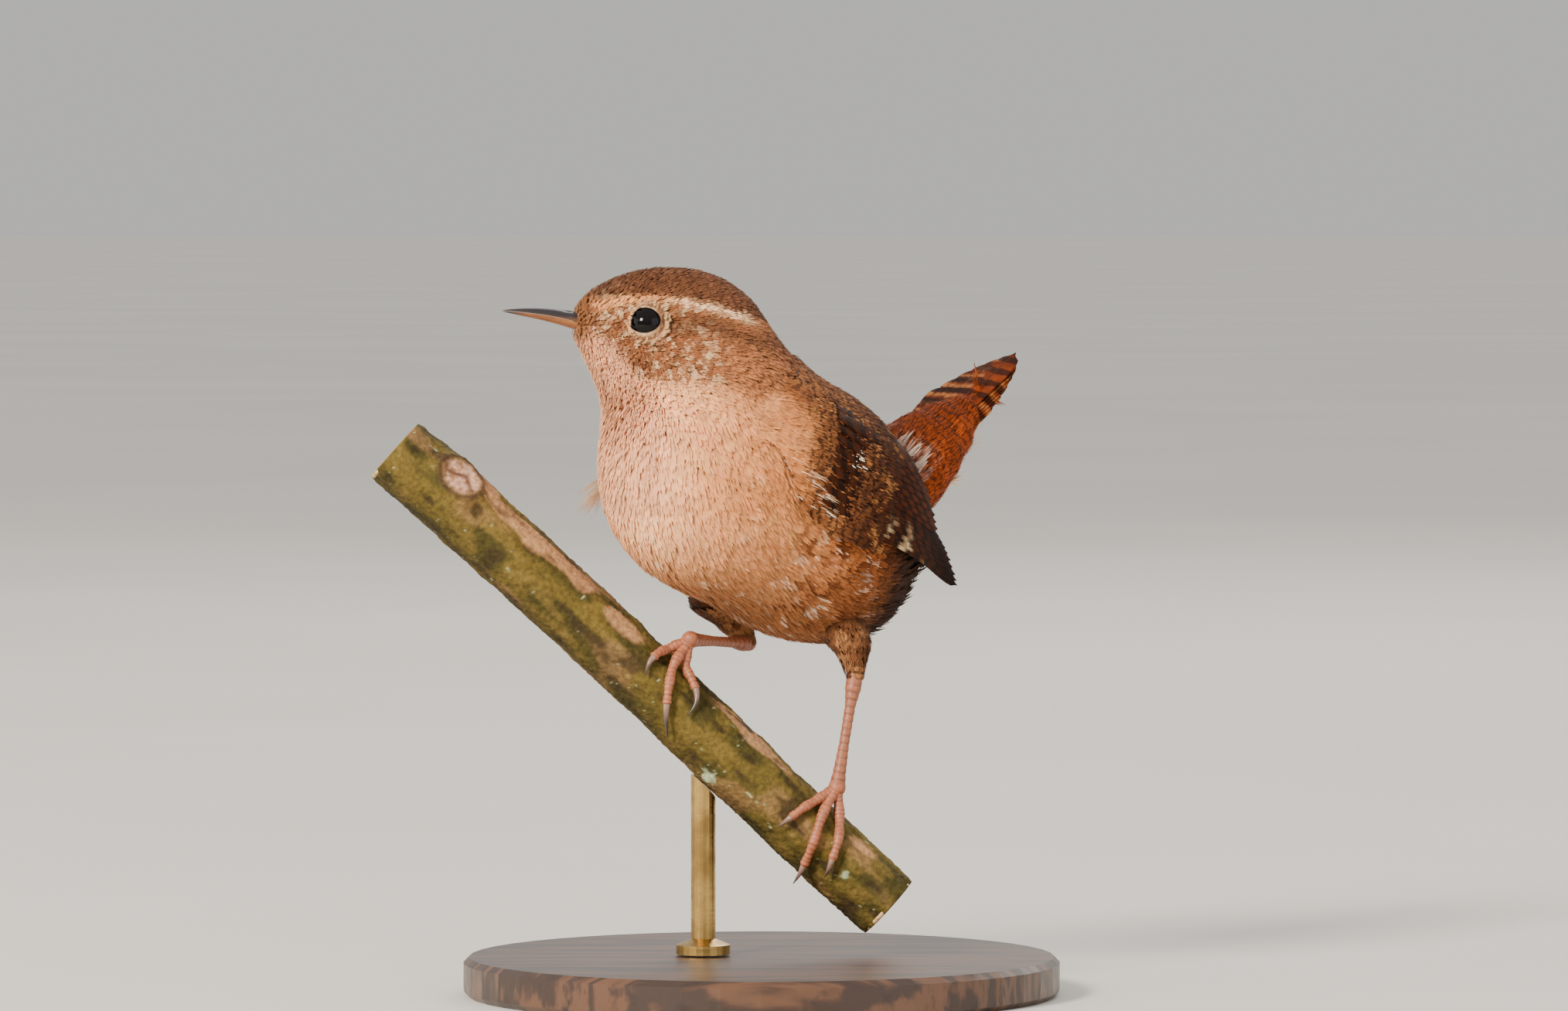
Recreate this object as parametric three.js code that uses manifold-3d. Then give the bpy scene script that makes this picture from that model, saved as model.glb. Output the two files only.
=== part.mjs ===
// A life-size Eurasian wren on a cut length of sloping branch, on a rod and a flat base.
// Millimetres, +Z up. Seen along +Y the bill points to -X, and the breast is turned towards -Y.
import * as THREE from "three";
import { mergeVertices } from "three/addons/utils/BufferGeometryUtils.js";
import Module from "manifold-3d";

const wasm = await Module();
wasm.setup();

const GAP = 0.3; // clear space between neighbouring pieces
const SHORTEST_EDGE = 0.02;
const deg = THREE.MathUtils.degToRad;
const V = (x, y, z) => new THREE.Vector3(x, y, z);
const { lerp } = THREE.MathUtils;

// Stand
const BASE_RADIUS = 46;
const BASE_HEIGHT = 6;
const BASE_BEVEL = 0.9;
const ROD_RADIUS = 1.9;
const ROD_X = -9;
const COLLAR_RADIUS = 4.2;
const COLLAR_HEIGHT = 2.4;
const ROUND_SIDES = 48;

// Perch: its axis lies in the plane Y = 0 and falls towards +X
const PERCH_RADIUS = 5.7;
const PERCH_AXIS = [
  V(-56.5, 0, 84),
  V(-33.9, 0, 63.8),
  V(-19.6, 0, 50.6),
  V(9.8, 0, 22.5),
  V(19.6, 0, 13.6),
];
const PERCH_RINGS = 24;
const PERCH_SIDES = 18;
const SCAR_AT = 0.1; // share of the perch's length from its upper end to the twig scar
const SCAR_LENGTH = 0.05;
const SCAR_ANGLE = 52; // degrees from the perch's crest towards -Y
const SCAR_HEIGHT = 1.2;

// Bird: forward, left and up from the middle of the torso
const BODY_AT = V(0.6, 3.3, 74.7);
const BODY_YAW = 220; // degrees from +X to the way the breast points
const HEAD_AT = V(17.6, -2, 26.6);
const HEAD_YAW = -34; // the head is turned to the bird's right
const HEAD_PITCH = 4;
const BLEND = 2.2; // how softly the swellings of the body run into each other

// Each swelling: centre, half sizes along forward, left and up, and the nose-up tilt in degrees
const BODY_SWELLINGS = [
  { at: V(-4, 0, -2.5), half: V(23, 17.5, 16.2), tilt: 33 },
  { at: V(9.5, 0, 5.5), half: V(18.8, 17.5, 18.3), tilt: 0 },
  { at: V(-6, 0, 4), half: V(18, 15.5, 14.5), tilt: 35 },
  { at: V(-18, 0, 0), half: V(10, 9, 9), tilt: 0 },
  { at: V(11, -0.5, 15.5), half: V(16.5, 14.5, 14.5), tilt: 50 },
];
const HEAD_SWELLINGS = [
  { at: V(-1, 0, 2), half: V(12.4, 6.4, 8.8), tilt: 0 },
  { at: V(-0.5, 0, -3.4), half: V(11, 6.4, 7.8), tilt: 0 },
  { at: V(7.4, 0, 1.8), half: V(7.4, 3.7, 5.2), tilt: 0 },
];

// The line through the body on which the skin's rings are threaded
const SPINE = [V(-17, 0, -2.5), V(-6, 0, -3), V(4, 0, 2), V(11.5, -0.8, 12.5), HEAD_AT.clone()];
const SKIN_SIDES = 36;
const SPINE_RINGS = 22;
const TAIL_CAP_RINGS = 8;
const HEAD_CAP_RINGS = 11;
const SKIN_REACH = 45;

// Cuts that part the whole body into head, neck and torso
const HEAD_CUT = { at: V(12.5, -1, 17.5), facing: V(0.62, -0.2, 0.76) };
const NECK_CUT = { at: V(10, 0, 9.5), facing: V(0.62, -0.05, 0.78) };

// Head details, forward, left and up from the middle of the head
const EYE_AT = V(4.05, 5.85, 2);
const EYE_RADIUS = 3;
const LID_HALF_LENGTH = 2.65;
const LID_HALF_HEIGHT = 2.3;
const LID_RADIUS = 0.45;
const BILL_TIP = 25.9;
const BILL_ROOT = 10;
const BILL_HALF_WIDTH = 1.9;
const BILL_UPPER_DEPTH = 1.85;
const BILL_LOWER_DEPTH = 1.65;
const GAPE_DROP = 2.1; // how far the line of the mouth falls from the tip to the gape
const BILL_STATIONS = 9;
const BILL_SIDES = 8;
const BILL_AXIS_UP = 2.5;
const NOSTRIL = { at: V(16.6, 1.5, 3.4), half: V(0.9, 0.5, 0.3) };

// Wings, in degrees round an axis inside the body and millimetres along it from the bend of the wing
const WING_AXIS = [V(9, 0, 3), V(-28.5, 6.5, -12.6)];
const WING_FORM = { at: V(-17.5, 5, -7), half: V(17, 5.5, 7.5), tilt: 22 };
const WING_LIFT = 0.9;
const WING_FROM = -4;
const WING_TO = 43.5;
const WING_LOW = -4;
const VANE_THICKNESS = 0.65;
const VANE_SHARES = [0, 0.3, 0.62, 0.88, 1];
const SHOULDER = { from: -4, to: 13, high: 72, thickness: 1.7, stations: 7, across: 8 };

// Rows of vanes: first and last value in millimetres up from the wing's lower edge at the roots and at
// the tips, how far the tips reach, and how far the lower edge of each stands over its upper edge
const WING_ROWS = [
  { count: 6, root: 10.7, roots: [1.2, 7], tips: [0.8, 5.4], reach: [43.5, 35], half: 1.15, lift: 0, step: 0.3 },
  { count: 4, root: 9.1, roots: [8.6, 13.6], tips: [7.2, 12.8], reach: [33.3, 29.5], half: 1.55, lift: 0, step: 0.3 },
  { count: 3, root: 7.3, roots: [15.4, 19.4], tips: [15, 19.2], reach: [27, 20.5], half: 1.8, lift: 0, step: 0.3 },
  { count: 6, root: 8.3, roots: [2.2, 17.8], tips: [2.2, 18.4], reach: [20, 16], half: 2, lift: 0.5, step: 0.3 },
];

// Tail, forward, left and up from the middle of the torso
const TAIL_AT = V(-25.5, 0, 4.5);
const TAIL_RISE = 35;
const TAIL_ROLL = 15; // how far the tail's upper side is turned to the left
const TAIL_LENGTH = 32.5;
const TAIL_VANE_HALF = 2.6;
const TAIL_MIDDLE = -0.4; // how far left the quills of the middle feathers lie
const TAIL_ROOT = 2;
const TAIL_RAISED = 0.7; // how far the middle feathers lie over the tail's own line

// Feathers beside the middle on each side: spaces between quills at the root and the tip; the tail is
// swung so that its right half is spread and its left half folded under
const TAIL_SIDES = [
  { side: -1, count: 6, spaces: [0.8, 1.4] },
  { side: 1, count: 4, spaces: [0.2, 0.35] },
];
const TAIL_LEVEL = 0.3; // how much lower each feather lies than the one before it
const TAIL_SHORTER = [0.9, 0.2]; // by how much each feather is shorter than the one before it
const TAIL_COVERTS = { radii: [7.8, 7.4, 6.5, 5, 3.4, 1.6], at: [-5, 3, 7.6, 12.6, 17, 21] };

// Legs, in the frame of the whole model
const LEGS = {
  left: {
    knee: V(8.5, 6.5, 64),
    shank: V(14, 1.6, 54),
    ankle: V(14.4, 0.5, 49.2),
    pad: { along: 8.25, angle: 20, height: 3.1 },
    toes: {
      inner: { along: [7.2, 6.5, 6.1], angle: [44, 68, 88], claw: { along: 5.7, angle: 112, height: 0.7 } },
      middle: { along: [9.3, 11.3, 12.7], angle: [52, 92, 126], claw: { along: 13.4, angle: 147, height: 2.7 } },
      outer: { along: [11.4, 13.8, 15.2], angle: [34, 66, 92], claw: { along: 16.2, angle: 118, height: 0.7 } },
      hind: { along: [7.9, 7.4, 7.1], angle: [-30, -62, -84], claw: { along: 6.9, angle: -128, height: 0.5 } },
    },
  },
  right: {
    knee: V(-6.5, 10, 62.5),
    shank: V(-4.4, 12, 57.8),
    ankle: V(-2.2, 12.3, 53.6),
    pad: { along: -23.8, angle: 15, height: 3.7 },
    toes: {
      inner: { along: [-21.6, -19.6, -18], angle: [30, 42, 50], claw: { along: -16.2, angle: 86, height: 0.8 } },
      middle: { along: [-23, -21.2, -19.6], angle: [46, 76, 94], claw: { along: -16, angle: 127, height: 0.9 } },
      outer: { along: [-25.4, -26, -26.1], angle: [32, 50, 60], claw: { along: -25, angle: 86, height: 0.7 } },
      hind: { along: [-24.1, -24.4, -24.6], angle: [-28, -60, -82], claw: { along: -24.8, angle: -126, height: 0.5 } },
    },
  },
};
const PERCH_MARK = 0.741; // share of the perch's length at which along is 0
const ANKLE_RADIUS = 1.25;
const TARSUS_RADIUS = 0.8;
const PAD_RADIUS = 1.3;
const TOE_RADIUS = 0.8;
const TOE_STUB = 3.1; // how far each toe's root is one piece with the foot
const TOE_STATIONS = 8;
const TOE_SIDES = 8;
const CLAW_RADIUS = 0.52;
const CLAW_STATIONS = 5;

const material = (hex, roughness = 0.85, metalness = 0) =>
  new THREE.MeshStandardMaterial({ color: hex, roughness, metalness });
const PLUMAGE = material(0x8a5a34);
const PALE_PLUMAGE = material(0xc39a72);
const WING = material(0x5b3217);
const TAIL = material(0x8a3d14);
const EYE = material(0x120b08, 0.08);
const BILL_DARK = material(0x2a211f, 0.4);
const BILL_PALE = material(0xc08040, 0.45);
const LEG = material(0xc8846c, 0.5);
const CLAW = material(0x5a4a48, 0.4);
const BARK = material(0x6b6a2e, 0.9);
const WOOD = material(0x2c1d14, 0.45);
const METAL = material(0xb08d4a, 0.3, 1);

// A closed three.js geometry as a solid
function solid(geometry) {
  const bare = geometry.clone();
  for (const name of Object.keys(bare.attributes)) {
    if (name !== "position") bare.deleteAttribute(name);
  }
  const merged = mergeVertices(bare, 1e-4);
  const vertProperties = new Float32Array(merged.attributes.position.array);
  const triVerts = new Uint32Array(merged.index.array);
  const made = new wasm.Manifold(new wasm.Mesh({ numProp: 3, vertProperties, triVerts }));
  if (made.volume() > 0) return made;
  return new wasm.Manifold(new wasm.Mesh({ numProp: 3, vertProperties, triVerts: triVerts.reverse() }));
}

// The corners and triangles of a solid
function facesOf(shape) {
  const { vertProperties, numProp, triVerts } = shape.getMesh();
  const points = Array.from({ length: vertProperties.length / numProp }, (_, i) =>
    V(...vertProperties.subarray(i * numProp, i * numProp + 3)),
  );
  const faces = Array.from({ length: triVerts.length / 3 }, (_, i) => [...triVerts.subarray(3 * i, 3 * i + 3)]);
  return { points, faces };
}

function geometryFrom({ points, faces }) {
  const geometry = new THREE.BufferGeometry().setFromPoints(points);
  geometry.setIndex(faces.flat());
  return geometry;
}

// A solid without short edges: the ends of each are joined where that keeps the surface closed, and
// otherwise one end is drawn towards its neighbours
function welded(shape) {
  let { points, faces } = facesOf(shape);
  const around = (v) => [...new Set(faces.filter((face) => face.includes(v)).flat())];
  const short = ([a, b]) => points[a].distanceTo(points[b]) < SHORTEST_EDGE;
  const edges = () => faces.flatMap(([a, b, c]) => [[a, b], [b, c], [c, a]]).filter(short);
  const joins = ([a, b]) => around(a).filter((v) => around(b).includes(v)).length === 4;
  for (let edge = edges().find(joins); edge; edge = edges().find(joins)) {
    const [kept, dropped] = edge;
    faces = faces
      .map((face) => face.map((v) => (v === dropped ? kept : v)))
      .filter((face) => new Set(face).size === 3);
  }
  for (let edge = edges()[0]; edge; edge = edges()[0]) {
    const near = around(edge[1]);
    const middle = near.reduce((sum, v) => sum.add(points[v]), V(0, 0, 0)).divideScalar(near.length);
    points[edge[1]].lerp(middle, 0.3);
  }
  return solid(geometryFrom({ points, faces }));
}

// The largest closed surface of a solid as a three.js geometry
function geometryOf(shape) {
  const pieces = welded(shape).decompose();
  return geometryFrom(facesOf(pieces.reduce((a, b) => (a.volume() > b.volume() ? a : b))));
}

function node(name, shape, look) {
  const mesh = new THREE.Mesh(geometryOf(shape), look);
  mesh.name = name;
  return mesh;
}

const union = (shapes) => shapes.reduce((a, b) => a.add(b));

// A closed skin over rings of points, all with the same count, with a point or a flat cap at each end
function loft(rings) {
  const sides = Math.max(...rings.map((ring) => ring.length));
  const position = [];
  const index = [];
  const starts = rings.map((ring) => {
    const start = position.length / 3;
    ring.forEach((p) => position.push(p.x, p.y, p.z));
    return start;
  });
  const at = (ring, side) => starts[ring] + (rings[ring].length === 1 ? 0 : side % sides);
  const face = (a, b, c) => {
    if (a !== b && b !== c && c !== a) index.push(a, b, c);
  };
  for (let r = 0; r + 1 < rings.length; r++) {
    for (let s = 0; s < sides; s++) {
      face(at(r, s), at(r, s + 1), at(r + 1, s));
      face(at(r, s + 1), at(r + 1, s + 1), at(r + 1, s));
    }
  }
  for (const [ring, turned] of [[0, true], [rings.length - 1, false]]) {
    if (rings[ring].length === 1) continue;
    for (let s = 1; s + 1 < sides; s++) {
      if (turned) face(at(ring, 0), at(ring, s + 1), at(ring, s));
      else face(at(ring, 0), at(ring, s), at(ring, s + 1));
    }
  }
  const geometry = new THREE.BufferGeometry();
  geometry.setAttribute("position", new THREE.Float32BufferAttribute(position, 3));
  geometry.setIndex(index);
  return geometry;
}

// A round limb along points, with a radius for each; a radius of 0 ends it in a point
function limb(points, radii, sides = 10, flatten = 1, up = V(0, 0, 1)) {
  const rings = points.map((p, i) => {
    if (radii[i] === 0) return [p.clone()];
    const before = points[Math.max(i - 1, 0)];
    const after = points[Math.min(i + 1, points.length - 1)];
    const along = after.clone().sub(before).normalize();
    const across = along.clone().cross(up).normalize();
    const over = across.clone().cross(along);
    return Array.from({ length: sides }, (_, s) => {
      const angle = (s / sides) * 2 * Math.PI;
      return p
        .clone()
        .addScaledVector(across, Math.cos(angle) * radii[i])
        .addScaledVector(over, -Math.sin(angle) * radii[i] * flatten);
    });
  });
  return loft(rings);
}

// Body skin

const headPlace = new THREE.Matrix4().compose(
  HEAD_AT,
  new THREE.Quaternion().setFromEuler(new THREE.Euler(0, -deg(HEAD_PITCH), deg(HEAD_YAW), "ZYX")),
  V(1, 1, 1),
);
const swelling = ({ at, half, tilt }, place = new THREE.Matrix4()) => {
  const turn = new THREE.Quaternion().setFromEuler(new THREE.Euler(0, -deg(tilt), 0));
  const own = place.clone().multiply(new THREE.Matrix4().compose(at, turn, V(1, 1, 1)));
  return { half, inverse: own.invert() };
};
const BODY = [
  ...BODY_SWELLINGS.map((s) => swelling(s)),
  ...HEAD_SWELLINGS.map((s) => swelling(s, headPlace)),
];

// Distance from the surface of the swellings run together, less than 0 inside
function depthAt(point, swellings) {
  let sum = 0;
  for (const { half, inverse } of swellings) {
    const q = point.clone().applyMatrix4(inverse);
    const near = Math.hypot(q.x / half.x, q.y / half.y, q.z / half.z);
    const slope = Math.hypot(q.x / half.x ** 2, q.y / half.y ** 2, q.z / half.z ** 2);
    const distance = slope > 1e-9 ? (near * (near - 1)) / slope : -Math.min(half.x, half.y, half.z);
    sum += Math.exp(-distance / BLEND);
  }
  return -BLEND * Math.log(sum);
}

// The first point on the way from start along direction that is grow outside the surface
function surfacePoint(start, direction, grow = 0, swellings = BODY) {
  const outside = (r) => depthAt(start.clone().addScaledVector(direction, r), swellings) > grow;
  let near = 0;
  let far = 1;
  while (!outside(far) && far < SKIN_REACH) {
    near = far;
    far += 1;
  }
  for (let i = 0; i < 12; i++) {
    const middle = (near + far) / 2;
    if (outside(middle)) far = middle;
    else near = middle;
  }
  return start.clone().addScaledVector(direction, (near + far) / 2);
}

const spine = new THREE.CatmullRomCurve3(SPINE, false, "centripetal");

// A ring of the skin about the spine at t; lean turns its rays from square to the spine towards its way
function skinRing(t, lean, grow) {
  const centre = spine.getPointAt(t);
  const along = spine.getTangentAt(t);
  const left = V(0, 0, 1).cross(along).normalize();
  const over = along.clone().cross(left);
  return Array.from({ length: SKIN_SIDES }, (_, s) => {
    const angle = (s / SKIN_SIDES) * 2 * Math.PI;
    const ray = left
      .clone()
      .multiplyScalar(Math.cos(angle) * Math.cos(lean))
      .addScaledVector(over, Math.sin(angle) * Math.cos(lean))
      .addScaledVector(along, Math.sin(lean));
    return surfacePoint(centre, ray, grow);
  });
}

function bodySkin(grow = 0) {
  const rings = [];
  const quarter = Math.PI / 2;
  rings.push([surfacePoint(spine.getPointAt(0), spine.getTangentAt(0).negate(), grow)]);
  for (let i = 1; i <= TAIL_CAP_RINGS; i++) {
    rings.push(skinRing(0, -quarter * (1 - i / (TAIL_CAP_RINGS + 1)), grow));
  }
  for (let i = 0; i <= SPINE_RINGS; i++) rings.push(skinRing(i / SPINE_RINGS, 0, grow));
  for (let i = 1; i <= HEAD_CAP_RINGS; i++) {
    rings.push(skinRing(1, quarter * (i / (HEAD_CAP_RINGS + 1)), grow));
  }
  rings.push([surfacePoint(spine.getPointAt(1), spine.getTangentAt(1), grow)]);
  return solid(loft(rings));
}

// A large block whose face is on the cut, moved along its facing, and that fills what lies before it
function beyond({ at, facing }, moved) {
  const size = 120;
  const block = new THREE.BoxGeometry(size, size, size).translate(0, 0, size / 2);
  const turn = new THREE.Quaternion().setFromUnitVectors(V(0, 0, 1), facing.clone().normalize());
  const place = at.clone().addScaledVector(facing.clone().normalize(), moved);
  return solid(block.applyMatrix4(new THREE.Matrix4().compose(place, turn, V(1, 1, 1))));
}

const whole = bodySkin();
const grown = bodySkin(GAP + 0.05);

// Head

// Half of the bill: side is 1 for the upper half and -1 for the lower; grow makes its bed in the head
function billHalf(side, grow = 0) {
  const depth = side > 0 ? BILL_UPPER_DEPTH : BILL_LOWER_DEPTH;
  const rings = [[V(BILL_TIP + grow, 0, BILL_AXIS_UP + (side * GAP) / 2)]];
  for (let i = 1; i <= BILL_STATIONS; i++) {
    const t = i / BILL_STATIONS;
    const forward = lerp(BILL_TIP, BILL_ROOT - grow, t);
    const mouth = BILL_AXIS_UP - GAPE_DROP * t ** 2.6 + side * (GAP / 2 - grow);
    const wide = BILL_HALF_WIDTH * t ** 0.62 + grow;
    const deep = depth * t ** 0.7 + 2 * grow;
    const ring = [];
    for (let k = 0; k <= BILL_SIDES; k++) {
      const angle = (k / BILL_SIDES) * Math.PI;
      ring.push(V(forward, Math.cos(angle) * wide, mouth + side * Math.sin(angle) * deep));
    }
    rings.push(ring);
  }
  return solid(loft(rings));
}

const ball = (at, half, detail = 10) =>
  solid(new THREE.SphereGeometry(1, 2 * detail, detail).scale(half.x, half.y, half.z).translate(at.x, at.y, at.z));
const mirrored = (v, side) => V(v.x, v.y * side, v.z);
const eyeBall = (side, grow = 0) => {
  const r = EYE_RADIUS + grow;
  return ball(mirrored(EYE_AT, side), V(r, r, r), 9);
};

// The rim of skin round an eye, square to the head's skin there
function lid(side) {
  const eye = mirrored(EYE_AT, side);
  const skin = (at) => depthAt(at.clone().applyMatrix4(headPlace), BODY);
  const step = 0.2;
  const slope = [V(step, 0, 0), V(0, step, 0), V(0, 0, step)].map(
    (shift) => skin(eye.clone().add(shift)) - skin(eye.clone().sub(shift)),
  );
  const out = V(...slope).normalize();
  const forward = V(1, 0, 0).addScaledVector(out, -out.x).normalize();
  const place = new THREE.Matrix4().makeBasis(forward, out.clone().cross(forward), out);
  const ring = new THREE.TorusGeometry(1, LID_RADIUS / LID_HALF_LENGTH, 6, 20);
  ring.scale(LID_HALF_LENGTH, LID_HALF_HEIGHT, LID_HALF_LENGTH);
  ring.applyMatrix4(place.setPosition(eye.addScaledVector(out, -skin(eye) - LID_RADIUS * 0.2)));
  return solid(ring);
}

const toHead = (shape) => shape.transform(headPlace.elements);
const headBed = union([
  billHalf(1, GAP),
  billHalf(-1, GAP),
  eyeBall(1, GAP),
  eyeBall(-1, GAP),
]);
const headWhole = whole.intersect(beyond(HEAD_CUT, GAP / 2));
const head = headWhole.add(toHead(lid(1))).add(toHead(lid(-1))).subtract(toHead(headBed));
const nostrils = union([1, -1].map((side) => ball(mirrored(NOSTRIL.at, side), NOSTRIL.half, 5)));

// Feathers

// A flat vane through stations of a first edge, a quill and a second edge, thickened against their normal
function vane(stations) {
  const position = [];
  const index = [];
  for (const { points, normal, thickness } of stations) {
    for (const p of points) position.push(p.x, p.y, p.z);
    for (const p of points) {
      const under = p.clone().addScaledVector(normal, -thickness);
      position.push(under.x, under.y, under.z);
    }
  }
  const quad = (a, b, c, d) => index.push(a, b, c, a, c, d);
  const last = (stations.length - 1) * 6;
  for (let o = 0; o < last; o += 6) {
    for (const k of [0, 1]) {
      quad(o + k, o + k + 1, o + k + 7, o + k + 6);
      index.push(o + k + 3, o + k + 10, o + k + 4, o + k + 3, o + k + 9, o + k + 10);
    }
    quad(o + 3, o, o + 6, o + 9);
    quad(o + 2, o + 5, o + 11, o + 8);
  }
  for (const k of [0, 1]) {
    quad(k, k + 3, k + 4, k + 1);
    quad(last + k, last + k + 1, last + k + 4, last + k + 3);
  }
  const geometry = new THREE.BufferGeometry();
  geometry.setAttribute("position", new THREE.Float32BufferAttribute(position, 3));
  geometry.setIndex(index);
  return solid(geometry);
}

// Share of a vane's full half width, from its root at 0 to its tip at 1
const vaneWidth = (t) => (0.5 + 0.5 * Math.sin(Math.min(1, t * 1.3) * Math.PI * 0.5)) * (1 - 0.74 * t ** 8);

// Wings

const wingGuide = [...BODY, ...[1, -1].map((side) => swelling({ ...WING_FORM, at: mirrored(WING_FORM.at, side) }))];

// A place on the left wing's guide surface, moved out by lift, with its way out and its distance from the axis
function wingPoint(along, angle, lift) {
  const [from, to] = WING_AXIS;
  const way = to.clone().sub(from).normalize();
  const out = V(0, 1, 0).addScaledVector(way, -way.y).normalize();
  const over = out.clone().cross(way).normalize();
  const start = from.clone().addScaledVector(way, along);
  const ray = out.multiplyScalar(Math.cos(deg(angle))).addScaledVector(over, Math.sin(deg(angle)));
  const point = surfacePoint(start, ray, lift, wingGuide);
  return { point, out: ray, radius: point.distanceTo(start) };
}

// How far the shoulder is open at t, from 0 at the bend of the wing
const wingOpen = (t) => Math.sin((Math.min(1, (t + 0.04) / 0.3) * Math.PI) / 2);

// The angle of the wing's lower edge
function wingLow(along) {
  const t = (along - WING_FROM) / (WING_TO - WING_FROM);
  return lerp(lerp(30, WING_LOW, wingOpen(t)), 7, Math.max(0, (t - 0.4) / 0.6) ** 1.4);
}

// A place by millimetres up from the wing's lower edge
function wingSpot(along, up, lift) {
  const low = wingPoint(along, wingLow(along), lift);
  return wingPoint(along, wingLow(along) + THREE.MathUtils.radToDeg(up / low.radius), lift);
}

function wingVane(root, tip, half, lift, step) {
  const stations = VANE_SHARES.map((t) => {
    const along = lerp(root.along, tip.along, t);
    const up = lerp(root.up, tip.up, t);
    const wide = half * vaneWidth(t);
    const spots = [-1, 0, 1].map((k) => wingSpot(along, up + k * wide, lift - k * step));
    return { points: spots.map((s) => s.point), normal: spots[1].out, thickness: VANE_THICKNESS * lerp(1, 0.7, t) };
  });
  return vane(stations);
}

function wingRow({ count, root, roots, tips, reach, half, lift, step }) {
  const full = WING_LIFT + VANE_THICKNESS + step + lift;
  return Array.from({ length: count }, (_, i) => {
    const t = i / (count - 1);
    const start = { along: root, up: lerp(roots[0], roots[1], t) };
    const end = { along: lerp(reach[0], reach[1], t ** 1.2), up: lerp(tips[0], tips[1], t) };
    return wingVane(start, end, half, full, step);
  });
}

// The feathered shoulder that all the roots sink into
function shoulder() {
  const { from, to, high, thickness, stations, across } = SHOULDER;
  const rings = [];
  for (let i = 0; i <= stations; i++) {
    const t = i / stations;
    const along = lerp(from, to, t);
    const open = wingOpen((along - WING_FROM) / (WING_TO - WING_FROM));
    const end = Math.sqrt(1 - 0.75 * t ** 4);
    const outer = [];
    const inner = [];
    for (let k = 0; k <= across; k++) {
      const angle = lerp(wingLow(along), lerp(38, high, open), k / across);
      const dome = Math.sin((Math.PI * (k + 0.5)) / (across + 1)) ** 0.5;
      outer.push(wingPoint(along, angle, WING_LIFT + 0.5 + thickness * dome * open * end).point);
      inner.push(wingPoint(along, angle, WING_LIFT).point);
    }
    rings.push([...outer, ...inner.reverse()]);
  }
  return solid(loft(rings));
}

const wing = union([shoulder(), ...WING_ROWS.flatMap(wingRow)]);

// Tail

const TAIL_WAY = V(-Math.cos(deg(TAIL_RISE)), 0, Math.sin(deg(TAIL_RISE)));
const TAIL_LEFT = V(0, 1, 0).applyAxisAngle(TAIL_WAY, deg(TAIL_ROLL));
const TAIL_OVER = TAIL_LEFT.clone().cross(TAIL_WAY);

// A place on the tail: along it from its root, to the left of its middle, and over it
const tailPoint = (along, left, over) =>
  TAIL_AT.clone()
    .addScaledVector(TAIL_WAY, along)
    .addScaledVector(TAIL_LEFT, left)
    .addScaledVector(TAIL_OVER, over);

function tailVane(side, rank, spaces) {
  const length = TAIL_LENGTH - TAIL_SHORTER[0] * rank - TAIL_SHORTER[1] * rank ** 2;
  const stations = VANE_SHARES.map((t) => {
    const along = lerp(TAIL_ROOT, length, t);
    const left = TAIL_MIDDLE + side * rank * lerp(spaces[0], spaces[1], t);
    const wide = TAIL_VANE_HALF * vaneWidth(t);
    const over = TAIL_RAISED - rank * TAIL_LEVEL;
    const points = [-1, 0, 1].map((k) => tailPoint(along, left + k * wide, over - Math.abs(k) * 0.2));
    return { points, normal: TAIL_OVER, thickness: VANE_THICKNESS * lerp(1, 0.8, t) };
  });
  return vane(stations);
}

const tailFeathers = TAIL_SIDES.flatMap(({ side, count, spaces }) =>
  Array.from({ length: count }, (_, i) => tailVane(side, side < 0 ? i : i + 1, spaces)),
);
const tailCoverts = solid(
  limb(
    TAIL_COVERTS.at.map((along) => tailPoint(along, 0, -0.6)),
    TAIL_COVERTS.radii,
    20,
    0.95,
    V(0, 1, 0),
  ),
);
const tail = union([tailCoverts, ...tailFeathers]).subtract(grown);

// Perch

const perchCurve = new THREE.CatmullRomCurve3(PERCH_AXIS, false, "centripetal");

// Centre of the perch at t, its way, and the way from its centre to its crest
function perchFrame(t) {
  const centre = perchCurve.getPointAt(t);
  const along = perchCurve.getTangentAt(t);
  return { centre, along, crest: V(0, -1, 0).cross(along) };
}

const onPerch = ({ centre, crest }, angle, radius) =>
  centre
    .clone()
    .addScaledVector(crest, Math.cos(angle) * radius)
    .addScaledVector(V(0, -1, 0), Math.sin(angle) * radius);

function perch(grow = 0) {
  const rings = [];
  for (let i = 0; i <= PERCH_RINGS; i++) {
    const t = i / PERCH_RINGS;
    const frame = perchFrame(t);
    rings.push(
      Array.from({ length: PERCH_SIDES }, (_, s) => {
        const angle = (s / PERCH_SIDES) * 2 * Math.PI;
        const near = Math.exp(-(((t - SCAR_AT) / SCAR_LENGTH) ** 2));
        const swell = SCAR_HEIGHT * near * Math.max(0, Math.cos(angle - deg(SCAR_ANGLE))) ** 3;
        return onPerch(frame, angle, PERCH_RADIUS + swell + grow);
      }),
    );
  }
  return solid(loft(rings));
}

// A place by the perch: along it from its mark, degrees from its crest towards -Y, and height over its bark
function perchPlace({ along, angle, height }) {
  const frame = perchFrame(PERCH_MARK + along / perchCurve.getLength());
  return onPerch(frame, deg(angle), PERCH_RADIUS + height);
}

// Legs

const birdPlace = new THREE.Matrix4().compose(
  BODY_AT,
  new THREE.Quaternion().setFromEuler(new THREE.Euler(0, 0, deg(BODY_YAW))),
  V(1, 1, 1),
);
const grownTorso = grown.transform(birdPlace.elements);

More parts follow.
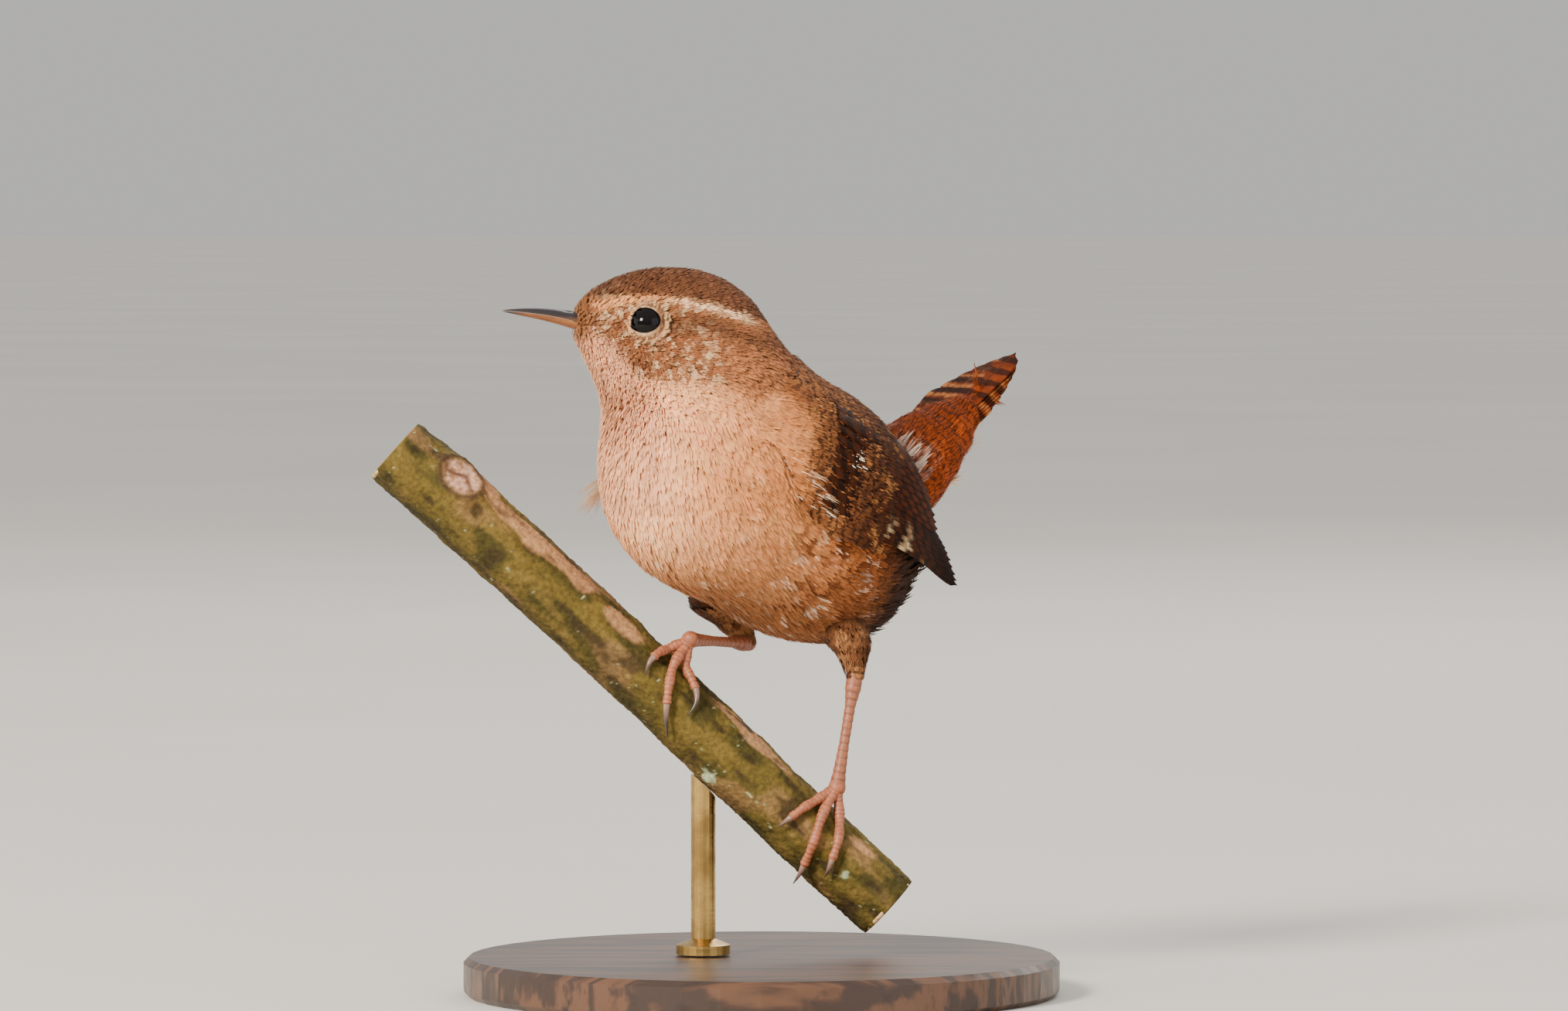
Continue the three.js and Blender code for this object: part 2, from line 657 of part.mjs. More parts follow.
function toeCurve(pad, { along, angle }) {
  const height = TOE_RADIUS + GAP;
  const places = along.map((value, i) => perchPlace({ along: value, angle: angle[i], height }));
  return new THREE.CatmullRomCurve3([pad, ...places], false, "centripetal");
}

// Radius of a toe, with a swelling at each of its joints
const toeRadius = (t) => TOE_RADIUS * (lerp(1.02, 0.78, t) + 0.07 * Math.cos(t * 6 * Math.PI));

function toePiece(curve, from, to, stations = TOE_STATIONS) {
  const shares = Array.from({ length: stations }, (_, i) => lerp(from, to, i / (stations - 1)));
  const points = shares.map((t) => curve.getPointAt(t));
  return solid(limb(points, shares.map(toeRadius), TOE_SIDES, 1, V(1, 0.2, 0.8)));
}

function claw(curve, place) {
  const end = curve.getPointAt(1);
  const way = curve.getTangentAt(1);
  const start = end.clone().addScaledVector(way, GAP);
  const tip = perchPlace(place);
  const bow = start.clone().addScaledVector(way, start.distanceTo(tip) * 0.5);
  const route = new THREE.QuadraticBezierCurve3(start, bow, tip);
  const shares = Array.from({ length: CLAW_STATIONS }, (_, i) => i / (CLAW_STATIONS - 1));
  const points = shares.map((t) => route.getPoint(t));
  return solid(limb(points, shares.map((t) => CLAW_RADIUS * (1 - 0.78 * t)), 6, 1, V(1, 0.2, 0.8)));
}

function leg(name, { knee, shank, ankle, pad, toes }) {
  const padAt = perchPlace(pad);
  const down = padAt.clone().sub(ankle).normalize();
  const thigh = solid(limb([knee, shank, ankle], [6.4, 3.1, 1.5], 14));
  const top = ankle.clone().addScaledVector(down, GAP);
  const shares = [0, 0.1, 0.22, 0.6, 0.88, 1];
  const radii = [ANKLE_RADIUS, ANKLE_RADIUS * 0.95, TARSUS_RADIUS, TARSUS_RADIUS * 0.95, 1.05, PAD_RADIUS];
  const points = shares.map((t) => top.clone().lerp(padAt, t));
  const curves = Object.entries(toes).map(([toe, route]) => [toe, route, toeCurve(padAt, route)]);
  const stubs = curves.map(([, , curve]) => toePiece(curve, 0, TOE_STUB / curve.getLength(), 4));
  const foot = union([
    solid(limb(points, radii, 10)),
    ball(padAt, V(PAD_RADIUS, PAD_RADIUS, PAD_RADIUS), 6),
    ...stubs,
  ]);
  const group = new THREE.Group();
  const bed = solid(limb(points, radii.map((r) => r + GAP), 10)).translate(down.clone().multiplyScalar(-GAP).toArray());
  group.add(node(`thigh_${name}`, thigh.subtract(bed).subtract(grownTorso), PALE_PLUMAGE));
  group.add(node(`foot_${name}`, foot, LEG));
  for (const [toe, route, curve] of curves) {
    group.add(node(`toe_${name}_${toe}`, toePiece(curve, (TOE_STUB + GAP) / curve.getLength(), 1), LEG));
    group.add(node(`claw_${name}_${toe}`, claw(curve, route.claw), CLAW));
  }
  return group;
}

// Stand

function base() {
  const profile = [
    [0, 0],
    [BASE_RADIUS - BASE_BEVEL, 0],
    [BASE_RADIUS, BASE_BEVEL],
    [BASE_RADIUS, BASE_HEIGHT - BASE_BEVEL],
    [BASE_RADIUS - BASE_BEVEL, BASE_HEIGHT],
    [0, BASE_HEIGHT],
  ].map(([r, z]) => new THREE.Vector2(r, z));
  return solid(new THREE.LatheGeometry(profile, ROUND_SIDES).rotateX(Math.PI / 2));
}

function rod() {
  const foot = BASE_HEIGHT + GAP;
  const top = perchCurve.getPointAt(0.5).z;
  const profile = [
    [0, foot],
    [COLLAR_RADIUS, foot],
    [COLLAR_RADIUS, foot + COLLAR_HEIGHT * 0.6],
    [ROD_RADIUS, foot + COLLAR_HEIGHT],
    [ROD_RADIUS, top],
    [0, top],
  ].map(([r, z]) => new THREE.Vector2(r, z));
  const turned = new THREE.LatheGeometry(profile, 24).rotateX(Math.PI / 2).translate(ROD_X, 0, 0);
  return solid(turned).subtract(perch(GAP));
}

// The whole model

const headGroup = new THREE.Group();
headGroup.applyMatrix4(headPlace);
for (const [name, side] of [["left", 1], ["right", -1]]) {
  headGroup.add(node(`eye_${name}`, eyeBall(side), EYE));
}
headGroup.add(node("bill_upper", billHalf(1).subtract(nostrils), BILL_DARK));
headGroup.add(node("bill_lower", billHalf(-1), BILL_PALE));

const bird = new THREE.Group();
bird.applyMatrix4(birdPlace);
bird.add(headGroup);
bird.add(node("head", head, PLUMAGE));
bird.add(
  node(
    "neck",
    whole.subtract(beyond(HEAD_CUT, -GAP / 2)).intersect(beyond(NECK_CUT, GAP / 2)),
    PLUMAGE,
  ),
);
bird.add(node("torso", whole.subtract(beyond(NECK_CUT, -GAP / 2)), PALE_PLUMAGE));
bird.add(node("wing_left", wing.subtract(grown), WING));
bird.add(node("wing_right", wing.mirror([0, 1, 0]).subtract(grown), WING));
bird.add(node("tail", tail, TAIL));

const model = new THREE.Group();
model.add(bird);
for (const [name, sizes] of Object.entries(LEGS)) model.add(leg(name, sizes));
model.add(node("perch", perch(), BARK));
model.add(node("stand_rod", rod(), METAL));
model.add(node("stand_base", base(), WOOD));
export default model;
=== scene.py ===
"""A life-size Eurasian wren on a cut length of branch, on a rod and a flat base.

Lengths are millimetres and are turned into metres where a mesh is made. Bird places are forward,
left and up from the middle of its torso, and head places the same from the middle of its head.
"""

import math

import bpy
import numpy as np
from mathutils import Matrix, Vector, kdtree


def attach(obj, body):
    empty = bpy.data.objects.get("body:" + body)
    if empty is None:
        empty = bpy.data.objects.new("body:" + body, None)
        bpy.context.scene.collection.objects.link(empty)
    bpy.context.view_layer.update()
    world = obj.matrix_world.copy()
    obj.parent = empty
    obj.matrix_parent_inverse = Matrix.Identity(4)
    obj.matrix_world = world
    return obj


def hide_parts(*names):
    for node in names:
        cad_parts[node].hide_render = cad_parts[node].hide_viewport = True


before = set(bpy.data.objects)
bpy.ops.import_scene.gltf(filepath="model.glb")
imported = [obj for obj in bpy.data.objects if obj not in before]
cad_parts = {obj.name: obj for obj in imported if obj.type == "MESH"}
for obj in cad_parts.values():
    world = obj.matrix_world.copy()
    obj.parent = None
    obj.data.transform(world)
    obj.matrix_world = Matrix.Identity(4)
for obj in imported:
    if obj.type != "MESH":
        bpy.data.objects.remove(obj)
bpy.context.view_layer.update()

MM = 0.001
random = np.random.default_rng(11)


def V(*values):
    return np.array(values, float)


def lerp(a, b, t):
    return a + (b - a) * t


def ramp(x, start, end):
    """0 before start and 1 after end, with a soft step between them."""
    t = np.clip((x - start) / (end - start), 0, 1)
    return t * t * (3 - 2 * t)


def bump(x, middle, half):
    """1 at the middle, falling softly to 0 at about twice the half width."""
    return np.exp(-(((x - middle) / half) ** 2))


def unit(vectors):
    return vectors / np.maximum(np.linalg.norm(vectors, axis=-1, keepdims=True), 1e-9)


def turned_up(degrees):
    c, s = math.cos(math.radians(degrees)), math.sin(math.radians(degrees))
    return np.array([[c, 0, -s], [0, 1, 0], [s, 0, c]])


def turned_left(degrees):
    c, s = math.cos(math.radians(degrees)), math.sin(math.radians(degrees))
    return np.array([[c, -s, 0], [s, c, 0], [0, 0, 1]])


def noise(points, size, seed=0):
    """Smooth noise from 0 to 1, with features about one size across."""
    q = points / size + seed * 17.31
    cell = np.floor(q).astype(np.int64)
    f = q - cell
    f = f * f * (3 - 2 * f)
    total = 0
    for corner in np.ndindex(2, 2, 2):
        at = cell + corner
        mixed = (at[..., 0] * 73856093) ^ (at[..., 1] * 19349663) ^ (at[..., 2] * 83492791)
        mixed = (mixed ^ (mixed >> 13)) * 1274126177
        value = ((mixed ^ (mixed >> 16)) & 0xFFFF) / 0xFFFF
        weight = np.prod(np.where(corner, f, 1 - f), axis=-1)
        total = total + value * weight
    return total


def srgb(*values):
    """A colour from 0 to 255 as a linear one."""
    c = np.array(values) / 255
    return np.where(c <= 0.04045, c / 12.92, ((c + 0.055) / 1.055) ** 2.4)


# Sizes that the solids share

BIRD_AT = V(0.6, 3.3, 74.7)
BIRD_TURN = turned_left(220)
HEAD_AT = V(17.6, -2, 26.6)
HEAD_TURN = turned_left(-34) @ turned_up(4)
BLEND = 2.2  # how softly the swellings run together
BODY_SWELLINGS = [
    (V(-4, 0, -2.5), V(23, 17.5, 16.2), 33),
    (V(9.5, 0, 5.5), V(18.8, 17.5, 18.3), 0),
    (V(-6, 0, 4), V(18, 15.5, 14.5), 35),
    (V(-18, 0, 0), V(10, 9, 9), 0),
    (V(11, -0.5, 15.5), V(16.5, 14.5, 14.5), 50),
]
HEAD_SWELLINGS = [
    (V(-1, 0, 2), V(12.4, 6.4, 8.8), 0),
    (V(-0.5, 0, -3.4), V(11, 6.4, 7.8), 0),
    (V(7.4, 0, 1.8), V(7.4, 3.7, 5.2), 0),
]
SPINE = [V(-17, 0, -2.5), V(-6, 0, -3), V(4, 0, 2), V(11.5, -0.8, 12.5), HEAD_AT]
SKIN_REACH = 45  # farthest that a ray is followed to the skin

EYE_AT = V(4.05, 5.85, 2)
EYE_RADIUS = 3
OPENING = 2.3, 1.95  # half length and half height of the opening between the lids
LID_OUTER = 3.02
LID_SHELL = (0, 3.04), (0.02, 3.14), (0.3, 3.2), (0.65, 3.16), (1, 3.06), (1, 3.03), (0.5, 3.03)
LID_SIDES = 96
BILL_TIP = 25.9
BILL_ROOT = 10
BILL_HALF_WIDTH = 1.9
BILL_UPPER_DEPTH = 1.85
BILL_LOWER_DEPTH = 1.65
BILL_AXIS_UP = 2.5
BILL_WIDENING = 0.62
BILL_DEEPENING = 0.7
GAPE_DROP = 2.1
GAP = 0.3
MOUTH_GAP = 0.06
NOSTRIL_AT = 15.6, 3.2  # forward and up in the head

WING_AXIS = V(9, 0, 3), V(-28.5, 6.5, -12.6)
WING_FORM = (V(-17.5, 5, -7), V(17, 5.5, 7.5), 22)
WING_LIFT = 0.9
WING_FROM = -4
WING_TO = 43.5
WING_LOW = -4

TAIL_AT = V(-25.5, 0, 4.5)
TAIL_RISE = 35
TAIL_ROLL = 15
TAIL_LENGTH = 32.5
TAIL_VANE_HALF = 2.6
TAIL_MIDDLE = -0.4
TAIL_ROOT = 2
TAIL_RAISED = 0.7
TAIL_LEVEL = 0.3
TAIL_SHORTER = 0.9, 0.2
TAIL_COVERT_AT = [-5, 3, 7.6, 12.6, 17, 21]
TAIL_COVERT_RADII = [7.8, 7.4, 6.5, 5, 3.4, 1.6]
TAIL_COVERT_OVER = -0.6

PERCH_RADIUS = 5.7
PERCH_AXIS = [V(-56.5, 0, 84), V(-33.9, 0, 63.8), V(-19.6, 0, 50.6), V(9.8, 0, 22.5), V(19.6, 0, 13.6)]
PERCH_MARK = 0.741  # share of its length from which the feet are measured
SCAR_AT = 0.1
SCAR_LENGTH = 0.05
SCAR_ANGLE = 52
SCAR_HEIGHT = 1.2

TOE_RADIUS = 0.8
PAD_RADIUS = 1.3
TARSUS_RADIUS = 0.8
ANKLE_RADIUS = 1.25
CLAW_RADIUS = 0.52
TARSUS_SCUTE = 1.15
TOE_SCUTE = 0.72
THIGH_RADII = [6.4, 3.1, 1.5]
THIGH_STOPS = [0, 0.66, 1]
# Places on the perch are millimetres from its mark, degrees from its crest and height. Each toe has
# its joints' millimetres and degrees, and then the place of its claw's tip.
LEGS = {
    "left": {
        "knee": V(8.5, 6.5, 64),
        "shank": V(14, 1.6, 54),
        "ankle": V(14.4, 0.5, 49.2),
        "pad": (8.25, 20, 3.1),
        "toes": {
            "inner": ([7.2, 6.5, 6.1], [44, 68, 88], (5.7, 112, 0.7)),
            "middle": ([9.3, 11.3, 12.7], [52, 92, 126], (13.4, 147, 2.7)),
            "outer": ([11.4, 13.8, 15.2], [34, 66, 92], (16.2, 118, 0.7)),
            "hind": ([7.9, 7.4, 7.1], [-30, -62, -84], (6.9, -128, 0.5)),
        },
    },
    "right": {
        "knee": V(-6.5, 10, 62.5),
        "shank": V(-4.4, 12, 57.8),
        "ankle": V(-2.2, 12.3, 53.6),
        "pad": (-23.8, 15, 3.7),
        "toes": {
            "inner": ([-21.6, -19.6, -18], [30, 42, 50], (-16.2, 86, 0.8)),
            "middle": ([-23, -21.2, -19.6], [46, 76, 94], (-16, 127, 0.9)),
            "outer": ([-25.4, -26, -26.1], [32, 50, 60], (-25, 86, 0.7)),
            "hind": ([-24.1, -24.4, -24.6], [-28, -60, -82], (-24.8, -126, 0.5)),
        },
    },
}

# Sizes of the coat

COAT_DEPTH = 1.1  # how far the skin lies inside the solids
HEAD_COAT_DEPTH = 0.6
TAIL_COAT_DEPTH = 0.9
SKIN_SIDES = 96
SPINE_RINGS = 70
TAIL_CAP_RINGS = 18
HEAD_CAP_RINGS = 30
CAP_LEAN = 89.5  # degrees over which the rings of a cap lean
STRANDS = 8  # strands of a tuft
STRAND_STATIONS = V(0, 0.42, 0.78, 1)  # shares of a strand from its root to its tip
STRAND_POINTS = 8
STRAND_RIDGE = 0.24  # height of a strand's ridge for its half width
STRAND_FACES = np.array(
    [[0, 1, 3], [0, 3, 2], [0, 2, 1]]
    + [face for a, b in ((1, 2), (2, 3), (3, 1)) for face in ([a, a + 3, b], [b, a + 3, b + 3])]
    + [[7, 6, 4], [7, 5, 6], [7, 4, 5]]
)
# Places that are tried for tufts, before they are thinned out
BODY_PLACES = 90_000
WING_PLACES = 14_000
TAIL_PLACES = 14_000
THIGH_PLACES = 3_000
PIECE_TRIANGLES = 190_000
PATCH = 0.003  # side of a tuft's patch on the unwrap of the skin

# Colours

CROWN = srgb(106, 66, 43)
NAPE = srgb(168, 106, 66)
MANTLE = srgb(148, 86, 46)
CREAM = srgb(236, 196, 152)
BUFF = srgb(220, 154, 98)
CHEEK = srgb(150, 92, 56)
THROAT = srgb(226, 164, 122)
BREAST = srgb(252, 188, 136)
SIDE = srgb(196, 118, 60)
FLANK = srgb(152, 78, 32)
SPOT = srgb(94, 46, 20)
SHADED_VENT = srgb(48, 28, 15)
RUMP = srgb(164, 70, 20)
TAIL_RED = srgb(108, 44, 13)
WING_BROWN = srgb(64, 30, 12)
FLUFF = srgb(182, 166, 156)
WHITE = srgb(255, 232, 206)
DARK = srgb(50, 28, 17)
SHADED_LOW_BREAST = srgb(190, 122, 70)
SHADED_BELLY = srgb(136, 82, 44)
CHEEK_DARK = srgb(104, 66, 42)
BILL_EDGE = srgb(140, 90, 54)
EYE_STRIPE = srgb(96, 60, 38)
EYE_RING = srgb(214, 172, 128)
THIGH = srgb(104, 64, 38)
THIGH_SKIN = srgb(96, 58, 34)
SHOULDER = srgb(132, 80, 44)
SHOULDER_PALE = srgb(176, 116, 62)
WING_SPOT = srgb(244, 206, 158)
TAIL_SPOT = srgb(196, 124, 70)
WARM = srgb(214, 176, 148)
VANE_BAR = srgb(22, 12, 8)
QUILL = srgb(58, 34, 20)
EYE_BLACK = srgb(5, 3, 3)
EYE_BROWN = srgb(13, 7, 5)
LID_CORNER = srgb(128, 84, 54)
LID_PALE = srgb(244, 196, 148)
LID_RIM = srgb(36, 22, 15)
LID_EDGE = srgb(156, 104, 66)
BILL_SLATE = srgb(30, 22, 26)
BILL_HORN = srgb(128, 74, 28)
BILL_SIDE = srgb(120, 66, 40)
BILL_END = srgb(52, 36, 32)
BILL_GAPE = srgb(186, 120, 50)
NOSTRIL = srgb(12, 9, 10)
LEG_FLESH = srgb(156, 90, 58)
TOE_PINK = srgb(170, 98, 64)
SCUTE_GROOVE_SHADE = srgb(84, 46, 32)
CLAW_ROOT = srgb(150, 116, 98)
CLAW_TIP = srgb(66, 54, 52)
BARK_GREEN = srgb(98, 82, 32)
BARK_MOSS = srgb(68, 60, 22)
BARK_RIDGE = srgb(116, 94, 42)
BARK_PEELED = srgb(182, 134, 92)
BARK_CRACK_AND_SHADE = srgb(52, 40, 20)
SCAR_PALE = srgb(212, 166, 138)
SCAR_BROWN = srgb(150, 106, 76)
SCAR_SPLIT = srgb(84, 50, 32)
SCAR_RIM = srgb(66, 46, 32)
LICHEN = srgb(176, 190, 150)
CUT_WOOD = srgb(196, 164, 120)
CUT_PALE = srgb(206, 172, 122)
CUT_RING = srgb(150, 112, 70)


# Curves


class Curve:
    """A centripetal Catmull-Rom curve through points, measured by its length."""

    STEPS = 60

    def __init__(self, points):
        ends = [2 * points[0] - points[1], *points, 2 * points[-1] - points[-2]]
        line = []
        for a, b, c, d in zip(ends, ends[1:], ends[2:], ends[3:]):
            first, middle, last = (math.sqrt(np.linalg.norm(q - p)) for p, q in ((a, b), (b, c), (c, d)))
            start = ((b - a) / first - (c - a) / (first + middle) + (c - b) / middle) * middle
            end = ((c - b) / middle - (d - b) / (middle + last) + (d - c) / last) * middle
            for t in np.arange(self.STEPS) / self.STEPS:
                square, cube = 3 * t * t - 2 * t**3, t**3
                line.append(b + (c - b) * square + start * (t - 2 * t * t + cube) + end * (cube - t * t))
        line.append(points[-1])
        self.line = np.array(line)
        steps = np.linalg.norm(np.diff(self.line, axis=0), axis=1)
        self.places = np.concatenate([[0], np.cumsum(steps)])
        self.length = self.places[-1]

    def at(self, share):
        place = np.asarray(share) * self.length
        return np.stack([np.interp(place, self.places, self.line[:, k]) for k in range(3)], axis=-1)

    def way(self, share):
        step = 0.004
        share = np.asarray(share)
        return unit(self.at(np.clip(share + step, 0, 1)) - self.at(np.clip(share - step, 0, 1)))


# The body's form


def swelling(form, place=V(0, 0, 0), turn=np.eye(3)):
    at, half, tilt = form
    return place + turn @ at, turn @ turned_up(tilt), half


BODY = [swelling(s) for s in BODY_SWELLINGS] + [swelling(s, HEAD_AT, HEAD_TURN) for s in HEAD_SWELLINGS]


def mirrored(form):
    at, half, tilt = form
    return at * V(1, -1, 1), half, tilt


WING_GUIDE = BODY + [swelling(WING_FORM), swelling(mirrored(WING_FORM))]


def depth(points, swellings=BODY):
    """Distance from the swellings run together, less than 0 inside."""
    total = 0
    for centre, turn, half in swellings:
        q = (points - centre) @ turn
        near = np.linalg.norm(q / half, axis=-1)
        slope = np.maximum(np.linalg.norm(q / half**2, axis=-1), 1e-6)
        total = total + np.exp(-near * (near - 1) / slope / BLEND)
    return -BLEND * np.log(total)


def limb_depth(points, path, radii):
    """Distance from a limb of straight lengths, less than 0 inside."""
    best = np.full(points.shape[:-1], 1e9)
    for a, b, r, s in zip(path, path[1:], radii, radii[1:]):
        share = np.clip(((points - a) @ (b - a)) / ((b - a) @ (b - a)), 0, 1)
        away = np.linalg.norm(points - (a + share[..., None] * (b - a)), axis=-1)
        best = np.minimum(best, away - lerp(r, s, share))
    return best


def outward(points, field):
    step = 0.15
    shifts = np.eye(3) * step
    return unit(np.stack([field(points + s) - field(points - s) for s in shifts], axis=-1))


def surface(starts, rays, grow=0, swellings=BODY):
    """The first points on the rays that are grow outside the form."""
    far = np.full(starts.shape[:-1], 1.0)
    for _ in range(SKIN_REACH):
        inside = depth(starts + rays * far[..., None], swellings) <= grow
        far = far + inside
    near = far - 1
    for _ in range(12):
        middle = (near + far) / 2
        out = depth(starts + rays * middle[..., None], swellings) > grow
        far = np.where(out, middle, far)
        near = np.where(out, near, middle)
    return starts + rays * ((near + far) / 2)[..., None]


def to_head(points):
    return (points - HEAD_AT) @ HEAD_TURN


def from_head(points):
    return HEAD_AT + points @ HEAD_TURN.T


def bird_world(points):
    return BIRD_AT + points @ BIRD_TURN.T


def bird_own(points):
    return (points - BIRD_AT) @ BIRD_TURN


spine = Curve(SPINE)


def coat_depth(shares):
    """How far the skin lies inside the solids, by share of the spine."""
    return lerp(COAT_DEPTH, HEAD_COAT_DEPTH, ramp(shares, 0.8, 1))


def skin_rings():
    """Points of the skin by ring and side, with each ring's share of the spine."""
    tail, head = (np.arange(count) / count * CAP_LEAN for count in (TAIL_CAP_RINGS, HEAD_CAP_RINGS))
    leans = np.radians(np.concatenate([-tail[:0:-1], np.zeros(SPINE_RINGS + 1), head[1:]]))
    last = math.pi / 2 * 0.997
    leans = np.concatenate([[-last], leans, [last]])
    middle = np.linspace(0, 1, SPINE_RINGS + 1)
    shares = np.concatenate([np.zeros(TAIL_CAP_RINGS), middle, np.ones(HEAD_CAP_RINGS)])
    centre = spine.at(shares)
    along = spine.way(shares)
    left = unit(np.cross(V(0, 0, 1), along))
    over = np.cross(along, left)
    angle = np.arange(SKIN_SIDES + 1) / SKIN_SIDES * 2 * math.pi
    flat = np.cos(angle)[None, :, None] * left[:, None] + np.sin(angle)[None, :, None] * over[:, None]
    rays = flat * np.cos(leans)[:, None, None] + along[:, None] * np.sin(leans)[:, None, None]
    starts = np.broadcast_to(centre[:, None], rays.shape)
    return surface(starts, rays, -coat_depth(shares)[:, None] * np.ones(SKIN_SIDES + 1)), shares


# Meshes


def grid_faces(rows, columns, start=0):
    """Two triangles for each cell of a grid of points."""
    r, c = np.meshgrid(np.arange(rows - 1), np.arange(columns - 1), indexing="ij")
    a = (r * columns + c).ravel() + start
    b, d, e = a + 1, a + columns, a + columns + 1
    return np.concatenate([np.stack([a, b, d], 1), np.stack([b, e, d], 1)])


def piece(name, points, faces, material, slot, tint=None, lie=None, maps=None, smooth=True):
    """A piece of triangles on the root body. Points are in the model's frame, in millimetres."""
    a, b, c = (points[faces[:, k]] for k in range(3))
    if np.einsum("ij,ij->", a, np.cross(b, c)) < 0:
        faces = faces[:, ::-1]
    mesh = bpy.data.meshes.new(name)
    mesh.vertices.add(len(points))
    mesh.vertices.foreach_set("co", (points * MM).astype(np.float32).ravel())
    mesh.loops.add(faces.size)
    mesh.loops.foreach_set("vertex_index", faces.astype(np.int32).ravel())
    mesh.polygons.add(len(faces))
    mesh.polygons.foreach_set("loop_start", np.arange(0, faces.size, 3, dtype=np.int32))
    mesh.polygons.foreach_set("use_smooth", np.full(len(faces), smooth))
    if tint is not None:
        colour = np.ones((len(points), 4), np.float32)
        colour[:, : tint.shape[1]] = tint
        mesh.color_attributes.new("Tint", "FLOAT_COLOR", "POINT").data.foreach_set("color", colour.ravel())
    if lie is not None:
        layer = mesh.attributes.new("Lie", "FLOAT_VECTOR", "POINT")
        layer.data.foreach_set("vector", lie.astype(np.float32).ravel())
    for label, values in (maps or {}).items():
        layer = mesh.uv_layers.new(name=label)
        layer.uv.foreach_set("vector", values[faces.ravel()].astype(np.float32).ravel())
    mesh.update(calc_edges=True)
    mesh.materials.append(material)
    made = bpy.data.objects.new(name, mesh)
    bpy.context.scene.collection.objects.link(made)
    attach(made, "root")
    return made


def joined(parts):
    """Lists of (points, faces, ...more values by point) run together."""
    faces = []
    start = 0
    for part in parts:
        faces.append(part[1] + start)
        start += len(part[0])
    columns = [np.concatenate([part[k] for part in parts]) for k in range(len(parts[0])) if k != 1]
    return [columns[0], np.concatenate(faces), *columns[1:]]


def tube(path, radii, sides, up=V(1, 0.2, 0.8)):
    """A round limb along a path, closed at both ends."""
    way = unit(np.gradient(path, axis=0))
    across = unit(np.cross(way, up))
    over = np.cross(across, way)
    angle = np.arange(sides) / sides * 2 * math.pi
    ring = np.cos(angle)[None, :, None] * across[:, None] + np.sin(angle)[None, :, None] * over[:, None]
    return closed_rows(path[:, None] + ring * radii[:, None, None])


def closed_rows(rows):
    """Faces over rings of points, closed round and at both ends."""
    count, sides = rows.shape[:2]
    faces = grid_faces(count, sides + 1)
    ring, side = faces // (sides + 1), faces % (sides + 1) % sides
    faces = ring * sides + side
    points = rows.reshape(-1, 3)
    ends = np.array([rows[0].mean(0), rows[-1].mean(0)])
    first, last = len(points), len(points) + 1
    s = np.arange(sides)
    following = (s + 1) % sides
    start_cap = np.stack([np.full(sides, first), following, s], 1)
    base = (count - 1) * sides
    end_cap = np.stack([np.full(sides, last), base + s, base + following], 1)
    return np.concatenate([points, ends]), np.concatenate([faces, start_cap, end_cap])


def pairs(by_row, by_column):
    """Both values at each place of a grid."""
    return np.stack(np.meshgrid(by_row, by_column, indexing="ij"), -1)


# Materials


